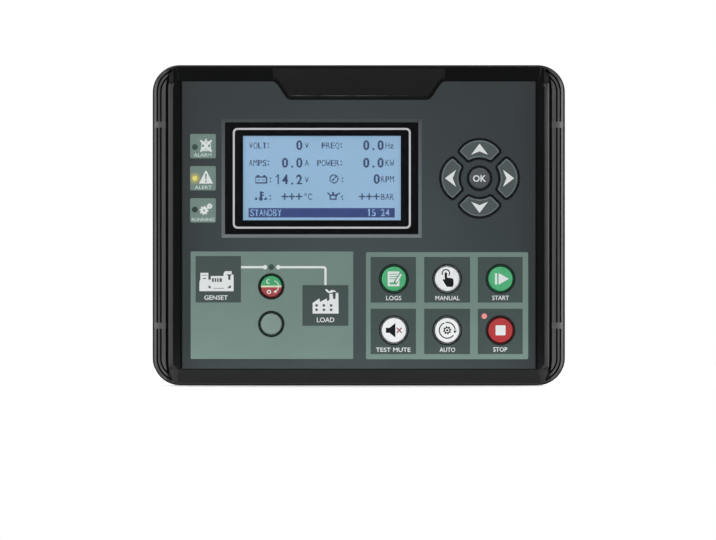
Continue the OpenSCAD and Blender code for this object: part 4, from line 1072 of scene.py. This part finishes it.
display_piece("display_signs", "lcd_ink", ink_y, [], [], pluses + [
    # battery
    [box(255.2, 176.4, 266.8, 183.2), box(256.3, 177.5, 265.7, 182.1)],
    [box(256.6, 174.8, 259.0, 176.4)], [box(263.0, 174.8, 265.4, 176.4)],
    [box(257.6, 179.4, 260.0, 180.2)], [box(262.0, 179.4, 264.4, 180.2)],
    # speed
    [circle(333.9, 178.8, 4.5, 28), circle(333.9, 178.8, 3.5, 28)],
    [stroke(332.6, 180.4, 336.0, 176.2, 1.1)], [circle(332.9, 180.0, 1.0, 10)],
    # coolant
    [box(260.0, 191.4, 261.6, 197.4)], [circle(260.8, 198.8, 2.0, 16)],
    [box(261.6, 192.0, 263.8, 193.1)], [box(261.6, 194.4, 263.8, 195.5)],
    [box(254.4, 198.2, 257.6, 199.4)], [box(264.0, 198.2, 267.2, 199.4)],
    [box(255.4, 196.8, 256.6, 198.2)], [box(265.0, 196.8, 266.2, 198.2)],
    # oil can
    [[(327.0, 192.8), (328.2, 192.2), (330.4, 194.4), (335.0, 194.4), (340.2, 192.2), (340.4, 193.2), (336.6, 195.8),
      (336.6, 199.4), (329.4, 199.4), (329.4, 195.4)],
     [(330.6, 195.6), (335.4, 195.6), (335.4, 198.3), (330.6, 198.3)]],
    [box(332.0, 192.0, 334.0, 194.4)], [circle(341.4, 197.2, 0.8, 10)],
])
display_piece("display_status", "lcd", ink_y - FILM, [], [
    ("STANDBY", 250.2, 212.7, BAR, "left"), ("15 24", 389.6, 212.7, BAR, "right"),
])

# ---- floor, light and camera
FLOOR_GAP = 0.0002  # between the floor and the object's lowest point
bm = bmesh.new()
bmesh.ops.create_grid(bm, x_segments=1, y_segments=1, size=1.0)
mesh = bpy.data.meshes.new("floor")
bm.to_mesh(mesh)
bm.free()
floor = add_object("floor", mesh)
floor.scale = (0.6, 0.3, 1)
floor.location = (0, 0.25, cad_box[0][2] - FLOOR_GAP)
floor_mat, tree, bsdf = shader("floor_pale", (0.9, 0.9, 0.9, 1), 0.6)
vary_colour(tree, bsdf, (0.9, 0.9, 0.9), 0.01, noise(tree, 60))
glow(floor_mat, (1, 1, 1, 1), 0.35)
mesh.materials.append(floor_mat)

# Soft lights that face the object: azimuth (0 in front, 90 on the right), elevation, distance, width, height, power.
# Between 45 and 92 degrees they would shine back from the slopes inside the ridges.
LIGHTS = {
    "top_soft": (0, 46, 1.0, 1.2, 0.6, 4.4),
    "front_soft": (0, 19, 1.2, 1.0, 0.36, 2.0),
    "left_strip": (-104, 8, 0.8, 0.4, 0.9, 3.6),
    "right_strip": (104, 8, 0.8, 0.4, 0.9, 5.8),
    "left_low": (-41, 4, 1.0, 0.45, 0.6, 3.4),
    "right_low": (41, 4, 1.0, 0.45, 0.6, 2.5),
    "back_left": (-140, 30, 1.1, 0.7, 0.7, 7),
    "back_right": (145, 35, 1.1, 0.7, 0.7, 9),
}
for name, (azimuth, elevation, away, width, height, power) in LIGHTS.items():
    light = bpy.data.lights.new(name, "AREA")
    light.shape = "RECTANGLE"
    light.size, light.size_y, light.energy = width, height, power
    lamp = add_object(name, light)
    a, e = math.radians(azimuth), math.radians(elevation)
    lamp.location = (away * math.sin(a) * math.cos(e), -away * math.cos(a) * math.cos(e), away * math.sin(e))
    lamp.rotation_euler = (-lamp.location).to_track_quat("-Z", "Y").to_euler()

# A white backdrop for the camera, and a faint one for the light
world = bpy.data.worlds.new("studio")
bpy.context.scene.world = world
world.use_nodes = True
tree = world.node_tree
ambient = tree.nodes["Background"]
backdrop = tree.nodes.new("ShaderNodeBackground")
for node, strength in ((ambient, 0.05), (backdrop, 1.0)):
    node.inputs["Color"].default_value = (1, 1, 1, 1)
    node.inputs["Strength"].default_value = strength
path = tree.nodes.new("ShaderNodeLightPath")
mix = tree.nodes.new("ShaderNodeMixShader")
put(tree, path.outputs["Is Camera Ray"], mix.inputs["Fac"])
put(tree, ambient.outputs["Background"], mix.inputs[1])
put(tree, backdrop.outputs["Background"], mix.inputs[2])
put(tree, mix.outputs["Shader"], tree.nodes["World Output"].inputs["Surface"])

# The camera looks straight at the front; its frame is the photograph's
DISTANCE = 3.0
camera = bpy.data.cameras.new("camera")
camera.sensor_width = 36
camera.lens = camera.sensor_width * (DISTANCE + FACE) / (PHOTO_W * PX)
camera.clip_end = 50
view = add_object("camera", camera)
view_x, view_z = px(PHOTO_W / 2, PHOTO_H / 2)
view.location = (view_x, -DISTANCE, view_z)
view.rotation_euler = (math.radians(90), 0, 0)
bpy.context.scene.camera = view
bpy.context.scene.view_settings.view_transform = "Standard"
bpy.context.scene.view_settings.look = "None"
